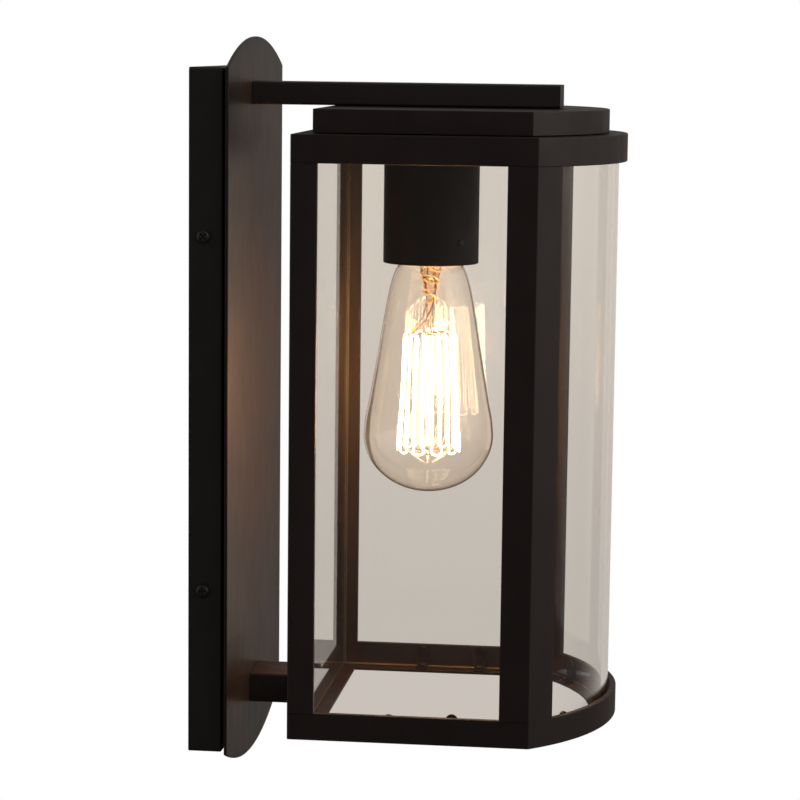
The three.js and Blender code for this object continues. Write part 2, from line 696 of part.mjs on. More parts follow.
function lead(sign) {
  const route = new THREE.CatmullRomCurve3(leadRoute(sign), false, "centripetal");
  const section = new THREE.Shape();
  section.absarc(0, 0, LEAD_RADIUS, 0, Math.PI * 2, false);
  return new THREE.ExtrudeGeometry(section, {
    steps: 56, extrudePath: route, curveSegments: 4, bevelEnabled: false,
  });
}

add("lead_live", lead(-1), LEAD_BLACK);
add("lead_neutral", lead(1), LEAD_WHITE);

// ---------------------------------------------------------------- bulb

// The envelope's outside: a drawn-out teardrop above its widest point and a low dome below.
function envelope(inset) {
  const { radius, widest, tip, neckRadius, capBottom } = BULB;
  const flank = new THREE.SplineCurve([
    new THREE.Vector2(radius, widest), new THREE.Vector2(31.2, -8), new THREE.Vector2(29.4, 1),
    new THREE.Vector2(25.7, 22.6), new THREE.Vector2(20.8, 52), new THREE.Vector2(17.2, 65),
    new THREE.Vector2(neckRadius + 2, capBottom - 2), new THREE.Vector2(neckRadius, capBottom - 0.4),
  ]);
  const dome = new THREE.EllipseCurve(0, widest, radius - inset, widest - tip - inset, -Math.PI / 2, 0);
  const points = dome.getPoints(6).map((point) => [Math.max(point.x, 0), point.y]);
  for (const point of flank.getPoints(11).slice(1)) points.push([point.x - inset, point.y]);
  points.push([neckRadius - inset, capBottom + 6]);
  points[0][0] = 0;
  return points;
}

function bulbGlass() {
  const outside = envelope(0);
  const inside = envelope(0.9).reverse();
  return turn([...outside, ...inside], 28);
}

function bulbCap() {
  const { capBottom, contact } = BULB;
  const inner = BULB.neckRadius + GAP;
  const profile = [[inner, capBottom], [13, capBottom], [13, capBottom + 2.4]];
  const pitch = 3.63;
  for (let i = 0; i < 5; i += 1) {
    const z = capBottom + 3.2 + i * pitch;
    profile.push([12.4, z], [13.05, z + pitch / 2]);
  }
  profile.push([12.3, contact - 4.9], [9.6, contact - 3.2]);
  profile.push([8.7, contact - 3.2], [inner - 0.4, contact - 5.6]);
  return turnRing(profile, 28);
}

add("bulb_glass", bulbGlass(), BULB_GLASS, 0, LAMP_Y, 0);
add("bulb_cap", bulbCap(), BRASS, 0, LAMP_Y, 0);
add("bulb_insulator", turn([
  [0, BULB.contact - 4.6], [8, BULB.contact - 4.6], [8.2, BULB.contact - 3.6],
  [5.2, BULB.contact - 1.6], [0, BULB.contact - 1.6],
], 28), BASE_GLASS, 0, LAMP_Y, 0);
add("bulb_contact", turn([
  [0, BULB.contact - 1.3], [4.6, BULB.contact - 1.3], [4.2, BULB.contact - 0.5], [2.4, BULB.contact],
  [0, BULB.contact],
], 24), BRASS, 0, LAMP_Y, 0);

const ROD_RADIUS = 1.5;
const SPIDER = { upper: 36, lower: -22 };

add("bulb_stem", turn([
  [0, CAGE.bottom - 4], [ROD_RADIUS, CAGE.bottom - 3.5], [ROD_RADIUS, 56], [4.5, 60], [5, 64],
  [6.5, 68], [10.3, 73], [10.3, 74], [0, 74],
], 20), BULB_GLASS, 0, LAMP_Y, 0);

// A collar on the glass rod with one wire to each filament bend, ending `drop` lower.
function spider(collarZ, reach, drop, count, phase) {
  const collar = turnRing([
    [ROD_RADIUS + GAP, collarZ - 1], [ROD_RADIUS + 1.2, collarZ - 1],
    [ROD_RADIUS + 1.2, collarZ + 1], [ROD_RADIUS + GAP, collarZ + 1],
  ], 16);
  const wires = [];
  for (let i = 0; i < count; i += 1) {
    const inner = ROD_RADIUS + 0.8;
    const length = Math.hypot(reach - inner, drop);
    const wire = new THREE.CylinderGeometry(0.3, 0.3, length, 6).rotateZ(Math.PI / 2)
      .translate(inner + length / 2, 0, 0);
    wire.translate(-inner, 0, 0).rotateY(Math.atan2(drop, reach - inner)).translate(inner, 0, collarZ);
    wires.push(wire.rotateZ(phase + (i * Math.PI * 2) / count));
  }
  return join(collar, ...wires);
}

// One wire folded up and down round the cage.
function filament() {
  const { topRadius, bottomRadius, top, bottom, strands, wire } = CAGE;
  const points = [];
  for (let i = 0; i < strands; i += 1) {
    const angle = Math.PI / 2 + ((i + 1) * Math.PI * 2) / (strands + 1);
    const rising = i % 2 === 0;
    const ends = [[bottomRadius, bottom], [topRadius, top]];
    if (!rising) ends.reverse();
    for (const [radius, z] of ends) {
      points.push(new THREE.Vector3(radius * Math.cos(angle), radius * Math.sin(angle), z));
    }
  }
  const path = new THREE.CatmullRomCurve3(points, false, "centripetal", 0.5);
  const section = new THREE.Shape();
  section.absarc(0, 0, wire, 0, Math.PI * 2, false);
  return new THREE.ExtrudeGeometry(section, {
    steps: strands * 7, extrudePath: path, curveSegments: 2, bevelEnabled: false,
  });
}

const HOOKS = CAGE.strands / 2;
const UPPER_DROP = SPIDER.upper - CAGE.top - 1;
const upperSpider = spider(SPIDER.upper, CAGE.topRadius - 1.6, UPPER_DROP, HOOKS, Math.PI / 8);
const lowerSpider = spider(SPIDER.lower, CAGE.bottomRadius - 1.6, 1, HOOKS, 0);
add("bulb_upper_spider", upperSpider, ZINC, 0, LAMP_Y, 0);
add("bulb_lower_spider", lowerSpider, ZINC, 0, LAMP_Y, 0);
add("bulb_filament", filament(), GLOW, 0, LAMP_Y, 0);

export default lantern;
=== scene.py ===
"""The looks of an outdoor wall lantern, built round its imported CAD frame.

Lengths are metres in the frame's own axes: +Z is up, the wall is the plane Y = 0, and the
lantern stands out towards -Y. Places come from the CAD nodes' boxes; the sizes below are the
ones a box doesn't tell, such as sheet thicknesses and edge radii.
"""

import json
import math

import bmesh
import bpy
from mathutils import Matrix, Vector


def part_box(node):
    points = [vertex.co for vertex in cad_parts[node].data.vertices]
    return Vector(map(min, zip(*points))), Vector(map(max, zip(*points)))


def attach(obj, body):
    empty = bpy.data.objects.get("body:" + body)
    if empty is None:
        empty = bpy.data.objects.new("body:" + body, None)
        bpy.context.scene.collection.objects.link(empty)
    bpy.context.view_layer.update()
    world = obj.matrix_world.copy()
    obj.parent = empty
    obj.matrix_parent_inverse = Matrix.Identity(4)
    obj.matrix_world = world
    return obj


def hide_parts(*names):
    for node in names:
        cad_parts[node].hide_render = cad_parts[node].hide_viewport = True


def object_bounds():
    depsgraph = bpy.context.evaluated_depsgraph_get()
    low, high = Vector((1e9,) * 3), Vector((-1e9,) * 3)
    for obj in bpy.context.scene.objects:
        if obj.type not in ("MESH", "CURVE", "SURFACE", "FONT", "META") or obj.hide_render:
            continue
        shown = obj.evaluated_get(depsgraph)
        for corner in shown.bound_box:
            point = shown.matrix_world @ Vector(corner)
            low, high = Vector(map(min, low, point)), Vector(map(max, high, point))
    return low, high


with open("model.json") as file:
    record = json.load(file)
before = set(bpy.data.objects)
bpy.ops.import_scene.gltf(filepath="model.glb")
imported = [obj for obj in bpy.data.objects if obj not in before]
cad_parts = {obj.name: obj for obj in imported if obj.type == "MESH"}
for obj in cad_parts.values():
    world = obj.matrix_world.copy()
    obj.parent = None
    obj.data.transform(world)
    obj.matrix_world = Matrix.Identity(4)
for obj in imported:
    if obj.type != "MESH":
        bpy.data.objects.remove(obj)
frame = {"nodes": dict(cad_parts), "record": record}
CAD_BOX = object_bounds()
RECORD = frame["record"]
BODY_OF = {
    node: body for body, nodes in RECORD["behaviour"]["bodies"].items() for node in nodes
}

MM = 0.001
SIDES = (("left", -1), ("right", 1))

# ------------------------------------------------------------------ driving dimensions

SHEET = 1.5 * MM
RAIL = 3 * MM  # thickness of the frame's rails and posts
FLANGE = 12.75 * MM  # how far the bottom frame's flange reaches in
EDGE = 0.35 * MM  # radius on the frame's edges
WELD = 0.7 * MM  # how far the posts' feet run down into the bottom frame's rounded edge
BEND = 1.0 * MM  # radius on the frame's upright corners
BOW_RADIUS = 104.15 * MM
BOW_STEPS = 72
ROOF_INSET = 9 * MM
POST = {"rear_leg": 12.7 * MM, "side_leg": 14 * MM, "bow_leg": 14.6 * MM}
PLATE_ARCH = 14.4 * MM
BOX_WALL = 1.2 * MM
BOX_SHOULDER = -16.2 * MM
BOX_STEP = 3.4 * MM
BOX_LIP = 7.2 * MM
TUBE_WALL = 1.2 * MM
TUBE_BEND = 1.1 * MM
COVER_WALL = 1.2 * MM
THREAD_PITCH = 3.629 * MM
BULB_WALL = 0.6 * MM
STRANDS = 20
STRAND_RADIUS = 0.42 * MM
CAGE = {"top": 33 * MM, "bottom": -24 * MM, "top_radius": 12.6 * MM, "bottom_radius": 15.4 * MM}
ROD_RADIUS = 1.5 * MM
FILAMENT_GLOW = 14.0
FLAT_ON = 0.98  # a pane's face, and not its edge, turns at least this squarely outwards

FRAME_LOW, FRAME_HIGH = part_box("bottom_frame")
TOP_LOW, TOP_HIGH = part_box("top_frame")
HALF = FRAME_HIGH.x
REAR = FRAME_HIGH.y
BOW_CENTRE = FRAME_LOW.y + BOW_RADIUS
CORNER = BOW_CENTRE - math.sqrt(BOW_RADIUS**2 - HALF**2)
CORNER_ANGLE = math.asin(HALF / BOW_RADIUS)
BULB_LOW, BULB_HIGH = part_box("bulb_glass")
LAMP_Y = (BULB_LOW.y + BULB_HIGH.y) / 2


# ------------------------------------------------------------------ mesh helpers


def rounded(points, radius, steps=4, closed=True):
    """An outline with its corners turned into arcs; bends under 12 degrees stay as they are.

    A point may carry its own radius as a third value.
    """
    outline = []
    count = len(points)
    for i, point in enumerate(points):
        corner = Vector(point[:2])
        if not closed and i in (0, count - 1):
            outline.append(corner)
            continue
        before = Vector(points[i - 1][:2]) - corner
        after = Vector(points[(i + 1) % count][:2]) - corner
        turn = math.pi - before.angle(after)
        if turn < math.radians(12):
            outline.append(corner)
            continue
        wanted = point[2] if len(point) > 2 else radius
        reach = min(wanted * math.tan(turn / 2), before.length * 0.45, after.length * 0.45)
        actual = reach / math.tan(turn / 2)
        towards = (before.normalized() + after.normalized()).normalized()
        centre = corner + towards * (actual / math.cos(turn / 2))
        spoke = corner + before.normalized() * reach - centre
        sign = 1 if before.x * after.y - before.y * after.x < 0 else -1
        for k in range(steps + 1):
            outline.append(centre + Matrix.Rotation(sign * turn * k / steps, 2) @ spoke)
    return outline


def offset(outline, distance):
    """A closed outline moved in by distance, or out if it is negative."""
    area = sum(a.x * b.y - b.x * a.y for a, b in zip(outline, outline[1:] + outline[:1]))
    inward = 1 if area > 0 else -1
    moved = []
    for i, point in enumerate(outline):
        before = (point - outline[i - 1]).normalized()
        after = (outline[(i + 1) % len(outline)] - point).normalized()
        normal = Vector((-before.y - after.y, before.x + after.x)).normalized() * inward
        spread = max(0.3, normal.dot(Vector((-before.y, before.x)) * inward))
        moved.append(point + normal * (distance / spread))
    return moved


def smooth_curve(points, steps):
    """A Catmull-Rom curve through the points, with steps spans between each two."""
    points = [Vector(point) for point in points]
    padded = [points[0] * 2 - points[1], *points, points[-1] * 2 - points[-2]]
    curve = []
    for a, b, c, d in zip(padded, padded[1:], padded[2:], padded[3:]):
        for k in range(steps):
            t = k / steps
            curve.append(
                0.5 * ((2 * b) + (c - a) * t + (2 * a - 5 * b + 4 * c - d) * t**2
                       + (3 * b - a - 3 * c + d) * t**3)
            )
    return [*curve, points[-1]]


def finished(name, shape, angle=32):
    """The bmesh as a smooth-shaded object, with sharp edges past the angle."""
    mesh = bpy.data.meshes.new(name)
    shape.to_mesh(mesh)
    shape.free()
    mesh.shade_smooth()
    mesh.set_sharp_from_angle(angle=math.radians(angle))
    made = bpy.data.objects.new(name, mesh)
    bpy.context.scene.collection.objects.link(made)
    weighted = made.modifiers.new("weighted_normals", "WEIGHTED_NORMAL")
    weighted.keep_sharp = True
    return made


def bridge(shape, low, high):
    count = max(len(low), len(high))
    for i in range(count):
        j = (i + 1) % count
        corners = (
            low[i % len(low)], low[j % len(low)], high[j % len(high)], high[i % len(high)]
        )
        shape.faces.new(dict.fromkeys(corners))


def loft(name, rings, closed=False):
    """A skin over rings of equal length, where a ring of one point is a pole.

    With closed, the last ring joins the first; otherwise the end rings are filled.
    """
    shape = bmesh.new()
    skins = [[shape.verts.new(point) for point in ring] for ring in rings]
    for low, high in zip(skins, skins[1:]):
        bridge(shape, low, high)
    if closed:
        bridge(shape, skins[-1], skins[0])
    else:
        for ring in (skins[0], skins[-1]):
            if len(ring) > 2:
                shape.faces.new(ring)
    bmesh.ops.recalc_face_normals(shape, faces=shape.faces)
    return finished(name, shape)


def upright(point, z):
    return Vector((point[0], point[1], z))


def prism(name, outline, low, high, edge=EDGE, place=upright):
    """An outline carried from one height to another, with its end edges rounded over."""
    rings = []
    for end, step in ((low, 1), (high, -1)):
        turns = [math.radians(angle) for angle in (0, 30, 60, 90)]
        rim = [
            [place(p, end + step * edge * (1 - math.cos(turn)))
             for p in offset(outline, edge * (1 - math.sin(turn)))]
            for turn in turns
        ]
        rings.extend(rim if step > 0 else reversed(rim))
    return loft(name, rings)


def turned(name, profile, centre=(0, LAMP_Y), sides=96, closed=False):
    """A profile of (radius, z) points turned about an upright axis; radius 0 is a pole."""
    x, y = centre
    rings = []
    for radius, z in profile:
        if radius < 1e-6:
            rings.append([Vector((x, y, z))])
            continue
        angles = [2 * math.pi * k / sides for k in range(sides)]
        rings.append([
            Vector((x + radius * math.cos(a), y + radius * math.sin(a), z)) for a in angles
        ])
    return loft(name, rings, closed)


def tube(name, path, radius, sides=10):
    """A round wire along a path of points, with flat ends."""
    rings = []
    normal = (path[1] - path[0]).orthogonal().normalized()
    last = len(path) - 1
    for i, point in enumerate(path):
        ahead = (path[min(i + 1, last)] - path[max(i - 1, 0)]).normalized()
        normal = (normal - ahead * normal.dot(ahead)).normalized()
        across = ahead.cross(normal)
        angles = [2 * math.pi * k / sides for k in range(sides)]
        rings.append([
            point + (normal * math.cos(a) + across * math.sin(a)) * radius for a in angles
        ])
    return loft(name, rings)


def joined(name, parts):
    """One object from several, which go."""
    shape = bmesh.new()
    for part in parts:
        shape.from_mesh(part.data)
        bpy.data.objects.remove(part)
    return finished(name, shape)


def moved(made, matrix):
    made.data.transform(matrix)
    return made


def cut(made, *cutters):
    """Cuts the cutters out of an object; they go."""
    for cutter in cutters:
        boolean = made.modifiers.new("cut", "BOOLEAN")
        boolean.object = cutter
        boolean.operation = "DIFFERENCE"
        boolean.solver = "EXACT"
    depsgraph = bpy.context.evaluated_depsgraph_get()
    mesh = bpy.data.meshes.new_from_object(made.evaluated_get(depsgraph))
    shape = bmesh.new()
    shape.from_mesh(mesh)
    name = made.name
    for gone in (made, *cutters):
        bpy.data.objects.remove(gone)
    return finished(name, shape)


def refined(node, bevel, angle=32):
    """A copy of a CAD node with its flat faces made whole and its edges rounded over."""
    shape = bmesh.new()
    shape.from_mesh(frame["nodes"][node].data)
    bmesh.ops.remove_doubles(shape, verts=shape.verts, dist=1e-6)
    bmesh.ops.dissolve_limit(
        shape, angle_limit=math.radians(1), verts=shape.verts, edges=shape.edges
    )
    made = finished(f"{node}_fine", shape, angle)
    if bevel > 0:
        rounding = made.modifiers.new("rounding", "BEVEL")
        rounding.width = bevel
        rounding.segments = 3
        rounding.limit_method = "ANGLE"
        rounding.angle_limit = math.radians(angle)
        made.modifiers.move(1, 0)
    return made


def stands_for(made, *nodes, finish):
    """Puts a finish on an object and shows it in place of the CAD nodes it stands for."""
    made.data.materials.clear()
    made.data.materials.append(finish)
    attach(made, BODY_OF[nodes[0]])
    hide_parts(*nodes)
    return made


def refine(bevel, finish, *nodes):
    """Shows CAD nodes as they are, but for their rounded edges and their finish."""
    for node in nodes:
        stands_for(refined(node, bevel), node, finish=finish)


def extra(made, body, finish):
    """A small piece that no CAD node has, such as a thread of wire inside the bulb."""
    made.data.materials.clear()
    made.data.materials.append(finish)
    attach(made, body)
    return made


# ------------------------------------------------------------------ finishes


class Nodes:
    """A node tree, with short calls for the nodes that finishes and studio share."""

    def __init__(self, tree):
        self.tree = tree

    def node(self, kind, inputs, output, **settings):
        made = self.tree.nodes.new(kind)
        for setting, value in settings.items():
            setattr(made, setting, value)
        for socket, value in inputs.items():
            if isinstance(value, bpy.types.NodeSocket):
                self.tree.links.new(value, made.inputs[socket])
            else:
                made.inputs[socket].default_value = value
        return made.outputs[output]

    def math(self, operation, first, second):
        return self.node("ShaderNodeMath", {0: first, 1: second}, 0, operation=operation)

    def total(self, *terms):
        made = terms[0]
        for term in terms[1:]:
            made = self.math("ADD", made, term)
        return made

    def ramp(self, value, start, end, low, high, **settings):
        """Low to high as the value goes from start to end, and no further."""
        inputs = {
            "Value": value, "From Min": start, "From Max": end, "To Min": low, "To Max": high,
        }
        return self.node("ShaderNodeMapRange", inputs, "Result", **settings)

    def blend(self, share, first, second):
        """From the first colour to the second, each a colour or a node's output."""
        inputs = {0: share}
        for socket, value in ((6, first), (7, second)):
            inputs[socket] = value if isinstance(value, bpy.types.NodeSocket) else (*value, 1)
        return self.node("ShaderNodeMix", inputs, 2, data_type="RGBA")


class Finish(Nodes):
    """A material with one Principled shader, and short calls for what feeds it."""

    def __init__(self, name, **sockets):
        self.material = bpy.data.materials.new(name)
        self.material.use_nodes = True
        super().__init__(self.material.node_tree)
        self.shader = self.tree.nodes["Principled BSDF"]
        self.place = self.tree.nodes.new("ShaderNodeTexCoord").outputs["Object"]
        for socket, value in sockets.items():
            self.shader.inputs[socket.replace("_", " ")].default_value = value

    def noise(self, size, detail=3.0, stretch=(1, 1, 1)):
        """Noise with features about size metres across, drawn out along the axes by stretch."""
        scale = [1 / (size * s) for s in stretch]
        place = self.node("ShaderNodeMapping", {"Vector": self.place, "Scale": scale}, "Vector")
        return self.node(
            "ShaderNodeTexNoise", {"Vector": place, "Scale": 1.0, "Detail": detail}, "Fac"
        )

    def cells(self, size, output="Distance"):
        scale = [1 / size] * 3
        place = self.node("ShaderNodeMapping", {"Vector": self.place, "Scale": scale}, "Vector")
        return self.node("ShaderNodeTexVoronoi", {"Vector": place, "Scale": 1.0}, output)

    def spread(self, value, low, high, start=0.35, end=0.65):
        """The value's middle range, start to end, spread over low to high."""
        return self.ramp(value, start, end, low, high)

    def feed(self, socket, output):
        self.tree.links.new(output, self.shader.inputs[socket])

    def bump(self, height, depth):
        inputs = {"Height": height, "Distance": depth, "Strength": 1.0}
        self.feed("Normal", self.node("ShaderNodeBump", inputs, "Normal"))


def powder_coat(name, dark, light, rough, depth=0.012 * MM, shine=0.5, wear=0.05):
    """Black powder coat: a fine orange peel, cloudy tone, and edges a little lighter, partly as
    rubbed wear and partly as a painted highlight on the bevels.
    """
    coat = Finish(name, Specular_IOR_Level=shine)
    clouds = coat.noise(35 * MM, 4)
    tone = coat.blend(coat.spread(clouds, 0, 1), dark, light)
    # Edges lighter by pointiness: partly rubbed wear, partly a painted highlight where the bevels
    # would catch the light.
    edges = coat.node("ShaderNodeNewGeometry", {}, "Pointiness")
    edge_wear_and_highlight = coat.spread(edges, 0, 0.35, 0.53, 0.60)
    worn_and_highlit_colour = tuple(0.03 + 2.2 * channel for channel in light)
    coat.feed("Base Color", coat.blend(edge_wear_and_highlight, tone, worn_and_highlit_colour))
    fine = coat.noise(0.5 * MM, 2)
    scuffs = coat.noise(9 * MM, 5, (1, 1, 2.5))
    coat.feed("Roughness", coat.total(
        coat.spread(fine, rough - 0.5 * wear, rough + 0.5 * wear),
        coat.spread(scuffs, -0.6 * wear, wear),
    ))
    height = coat.total(fine, coat.spread(coat.noise(2.2 * MM, 2), 0, 0.8))
    coat.bump(height, depth)
    return coat.material


def plated(name, colour, shade, rough):
    """Plated or pressed metal: bright, with faint spangle, fine scratches and dull patches."""
    metal = Finish(name, Metallic=1.0)
    spangle = metal.cells(2.5 * MM, "Color")
    grey = metal.node("ShaderNodeSeparateColor", {"Color": spangle}, 0)
    patches = metal.noise(6 * MM, 4)
    metal.feed("Base Color", metal.blend(
        metal.total(metal.spread(patches, 0, 0.7), metal.spread(grey, 0, 0.3, 0, 1)),
        colour, shade,
    ))
    scratches = metal.noise(0.25 * MM, 2, (1, 1, 12))
    metal.feed("Roughness", metal.total(
        metal.spread(patches, rough, rough + 0.14), metal.spread(scratches, 0, 0.06),
    ))
    metal.bump(scratches, 0.006 * MM)
    return metal.material


def clear_glass(name, tint, ripple, depth, painted_glow=0.0):
    """Clear glass with the faintest unevenness of its faces, and a warm painted glow, an even
    emission for the lamp's light scattered in the glass.
    """
    glass = Finish(
        name, Base_Color=(*tint, 1), Transmission_Weight=1.0, Roughness=0.0, IOR=1.5,
        Emission_Color=(1.0, 0.5, 0.24, 1), Emission_Strength=painted_glow,
    )
    glass.bump(glass.noise(ripple[0], 1, ripple[1]), depth)
    return glass.material


def ground_edge():
    """The ground and wiped edge of a glass pane, a little green and frosted."""
    glass = Finish(
        "glass_ground_edge", Base_Color=(0.1, 0.12, 0.1, 1), Transmission_Weight=0.6,
        Roughness=0.4, IOR=1.5,
    )
    glass.bump(glass.noise(0.35 * MM, 3), 0.02 * MM)
    return glass.material


def porcelain():
    glaze = Finish(
        "porcelain_glaze", Coat_Weight=0.5, Coat_Roughness=0.04, Subsurface_Weight=0.08,
        Subsurface_Scale=1.5 * MM,
    )
    speck = glaze.noise(0.8 * MM, 4)
    glaze.feed("Base Color", glaze.blend(
        glaze.spread(speck, 0, 1, 0.6, 0.8), (0.83, 0.81, 0.75), (0.62, 0.58, 0.5),
    ))
    glaze.feed("Roughness", glaze.spread(glaze.noise(5 * MM, 3), 0.14, 0.26))
    glaze.bump(glaze.noise(4 * MM, 2), 0.05 * MM)
    return glaze.material


def soft_plastic(name, colour, shade, rough, grain=0.6 * MM):
    plastic = Finish(name)
    plastic.feed("Base Color", plastic.blend(
        plastic.spread(plastic.noise(7 * MM, 4), 0, 1), colour, shade,
    ))
    fine = plastic.noise(grain, 3)
    plastic.feed("Roughness", plastic.spread(fine, rough - 0.06, rough + 0.08))
    plastic.bump(fine, 0.015 * MM)
    return plastic.material


def foam():
    rubber = Finish("closed_cell_foam")
    pores = rubber.cells(0.55 * MM)
    rubber.feed("Base Color", rubber.blend(
        rubber.spread(pores, 0, 1, 0.1, 0.6), (0.006, 0.006, 0.006), (0.03, 0.029, 0.028),
    ))
    rubber.feed("Roughness", rubber.spread(pores, 0.98, 0.8, 0.1, 0.6))
    rubber.bump(pores, 0.12 * MM)
    return rubber.material


def hot_wire():
    """The lit filament: white-hot, its glow a little uneven along the wire."""
    wire = Finish("incandescent_filament", Roughness=0.5, Emission_Strength=FILAMENT_GLOW)
    coils = wire.noise(0.9 * MM, 2)
    wire.feed("Base Color", wire.blend(coils, (0.5, 0.36, 0.2), (0.7, 0.5, 0.3)))
    wire.feed("Emission Color", wire.blend(
        wire.spread(coils, 0, 1), (1.0, 0.7, 0.4), (1.0, 0.8, 0.52),
    ))
    wire.feed("Roughness", wire.spread(coils, 0.4, 0.6))
    return wire.material


frame_black = powder_coat(
    "powder_coat_black", (0.0125, 0.0062, 0.0054), (0.0165, 0.009, 0.008), 0.43,
)
box_black = powder_coat("powder_coat_box", (0.0088, 0.0078, 0.0078), (0.0125, 0.011, 0.011), 0.45)
plate_black = powder_coat(
    "powder_coat_satin", (0.009, 0.0054, 0.0036), (0.012, 0.0075, 0.005), 0.35, depth=0.0008 * MM,
    shine=0.37, wear=0.02,
)
arm_black = powder_coat(
    "powder_coat_arm", (0.006, 0.0042, 0.0042), (0.009, 0.0062, 0.0062), 0.43, shine=0.42,
)
cover_black = powder_coat(
    "powder_coat_matt", (0.0045, 0.0022, 0.0006), (0.0065, 0.0038, 0.002), 0.55, shine=0.32,
)
screw_black = powder_coat("black_oxide", (0.01, 0.009, 0.0085), (0.02, 0.018, 0.017), 0.38)
zinc = plated("zinc_plate", (0.62, 0.64, 0.66), (0.44, 0.45, 0.46), 0.28)
green_zinc = plated("green_zinc_plate", (0.05, 0.3, 0.1), (0.03, 0.2, 0.07), 0.3)
brass = plated("pressed_brass", (0.76, 0.55, 0.25), (0.52, 0.35, 0.14), 0.24)
tin = plated("solder_tin", (0.6, 0.6, 0.58), (0.4, 0.4, 0.38), 0.3)
molybdenum = plated("support_wire", (0.36, 0.29, 0.2), (0.24, 0.17, 0.1), 0.3)
gilt = soft_plastic("gilt_wire", (1.0, 0.94, 0.72), (0.9, 0.78, 0.52), 0.3)
pane_glass = clear_glass(
    "float_glass", (0.975, 0.98, 0.97), (60 * MM, (1, 1, 2)), 0.02 * MM,
)
bow_glass = clear_glass(
    "slumped_glass", (0.975, 0.98, 0.97), (14 * MM, (1, 1, 30)), 0.025 * MM,
)
# The lamp glass carries a faint painted glow, an emission in place of the filament's light
# scattered in the glass.
bulb_glass = clear_glass(
    "lamp_glass", (0.985, 0.965, 0.925), (14 * MM, (1, 1, 1.5)), 0.02 * MM, painted_glow=0.024,
)
stem_glass = clear_glass("stem_glass", (0.97, 0.86, 0.74), (8 * MM, (1, 1, 2)), 0.02 * MM)
edge_glass = ground_edge()
glaze = porcelain()
nylon = soft_plastic("moulded_nylon", (0.76, 0.73, 0.62), (0.66, 0.63, 0.52), 0.45)
black_pvc = soft_plastic("black_insulation", (0.012, 0.012, 0.012), (0.025, 0.024, 0.023), 0.42)
white_pvc = soft_plastic("white_insulation", (0.72, 0.7, 0.64), (0.62, 0.6, 0.53), 0.42)
vitrite = soft_plastic("black_vitrite", (0.012, 0.007, 0.014), (0.03, 0.018, 0.034), 0.16)
foam_black = foam()
hot = hot_wire()


# ------------------------------------------------------------------ the body's plan


def plan(inset, bend=BEND):
    """The body's plan outline moved in by inset, its four upright corners rounded."""
    half = HALF - inset
    bow = BOW_RADIUS - inset
    spread = math.asin(half / bow)
    points = [(half, REAR - inset), (-half, REAR - inset)]
    for k in range(BOW_STEPS + 1):
        angle = spread * (2 * k / BOW_STEPS - 1)
        points.append((bow * math.sin(angle), BOW_CENTRE - bow * math.cos(angle)))
    return rounded(points, max(bend - inset, 0.05 * MM))


def plan_ring(name, section):
    """A closed section of (inset, z) points swept round the body's plan."""
    rings = [[upright(p, z) for p in plan(inset)] for inset, z in section]
    return loft(name, rings, closed=True)


def tray(name, inset, low, high, underside):
    """A shallow upturned tray with the body's plan: walls, a flat top and an open underside."""
    section = rounded(
        [(inset + RAIL, underside), (inset + RAIL, low), (inset, low), (inset, high, 0.5 * MM),
         (inset + 8 * MM, high)],
        EDGE, closed=False,
    )
    rings = [[upright(p, z) for p in plan(i, BEND + inset)] for i, z in section]
    return loft(name, rings)


def bow_arc(radius, start, end, steps=24):
    """Points on the bow from one angle off the centre line to another."""
    points = []
    for k in range(steps + 1):
        angle = start + (end - start) * k / steps
        points.append((radius * math.sin(angle), BOW_CENTRE - radius * math.cos(angle)))
    return points


def build_frame():
    low, high = FRAME_LOW.z, FRAME_HIGH.z
    section = rounded(
        [(0, low), (0, high), (RAIL, high), (RAIL, low + SHEET), (FLANGE, low + SHEET),
         (FLANGE, low)],
        EDGE,
    )
    stands_for(plan_ring("bottom_frame_fine", section), "bottom_frame", finish=frame_black)
    top = tray("top_frame_fine", 0, TOP_LOW.z, TOP_HIGH.z, TOP_HIGH.z - SHEET)
    stands_for(top, "top_frame", finish=frame_black)
    roof_low, roof_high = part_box("roof_cap")
    roof = tray("roof_cap_fine", ROOF_INSET, roof_low.z, roof_high.z, roof_high.z - SHEET)
    stands_for(roof, "roof_cap", finish=frame_black)


def rear_post_outline():
    inner = HALF - RAIL
    leg = HALF - POST["rear_leg"]
    return rounded(
        [(HALF, REAR, BEND), (leg, REAR), (leg, REAR - RAIL), (inner, REAR - RAIL, 0.6 * MM),
         (inner, REAR - POST["rear_leg"]), (HALF, REAR - POST["rear_leg"])],
        0.3 * MM,
    )


def front_post_outline():
    inner_radius = BOW_RADIUS - RAIL
    inner_half = HALF - RAIL
    leg_end = CORNER_ANGLE - POST["bow_leg"] / BOW_RADIUS
    inner_corner = math.asin(inner_half / inner_radius)
    inner_arc = bow_arc(inner_radius, inner_corner, leg_end, 8)
    outer_arc = bow_arc(BOW_RADIUS, leg_end, CORNER_ANGLE, 8)
    outer_arc[-1] = (*outer_arc[-1], BEND)
    leg = CORNER + POST["side_leg"]
    return rounded([(inner_half, leg), *inner_arc, *outer_arc, (HALF, leg)], 0.3 * MM)


def build_posts():
    low, high = FRAME_HIGH.z, TOP_LOW.z
    for kind, outline in (("rear", rear_post_outline()), ("front", front_post_outline())):
        for side, sign in SIDES:
            mirrored = [Vector((sign * p.x, p.y)) for p in outline]
            node = f"{kind}_post_{side}"
            post = prism(f"{node}_fine", mirrored, low - WELD, high, 0.12 * MM)
            stands_for(post, node, finish=frame_black)


# ------------------------------------------------------------------ glass


def pane(node, outline, glass, is_edge):
    """A pane with chamfered, ground edges. is_edge tells an edge face from its normal."""
    low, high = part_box(node)
    made = prism(f"{node}_fine", outline, low.z, high.z, 0.4 * MM)
    stands_for(made, node, finish=glass)
    made.data.materials.append(edge_glass)
    for face in made.data.polygons:
        if is_edge(face):
            face.material_index = 1
    made.visible_shadow = False


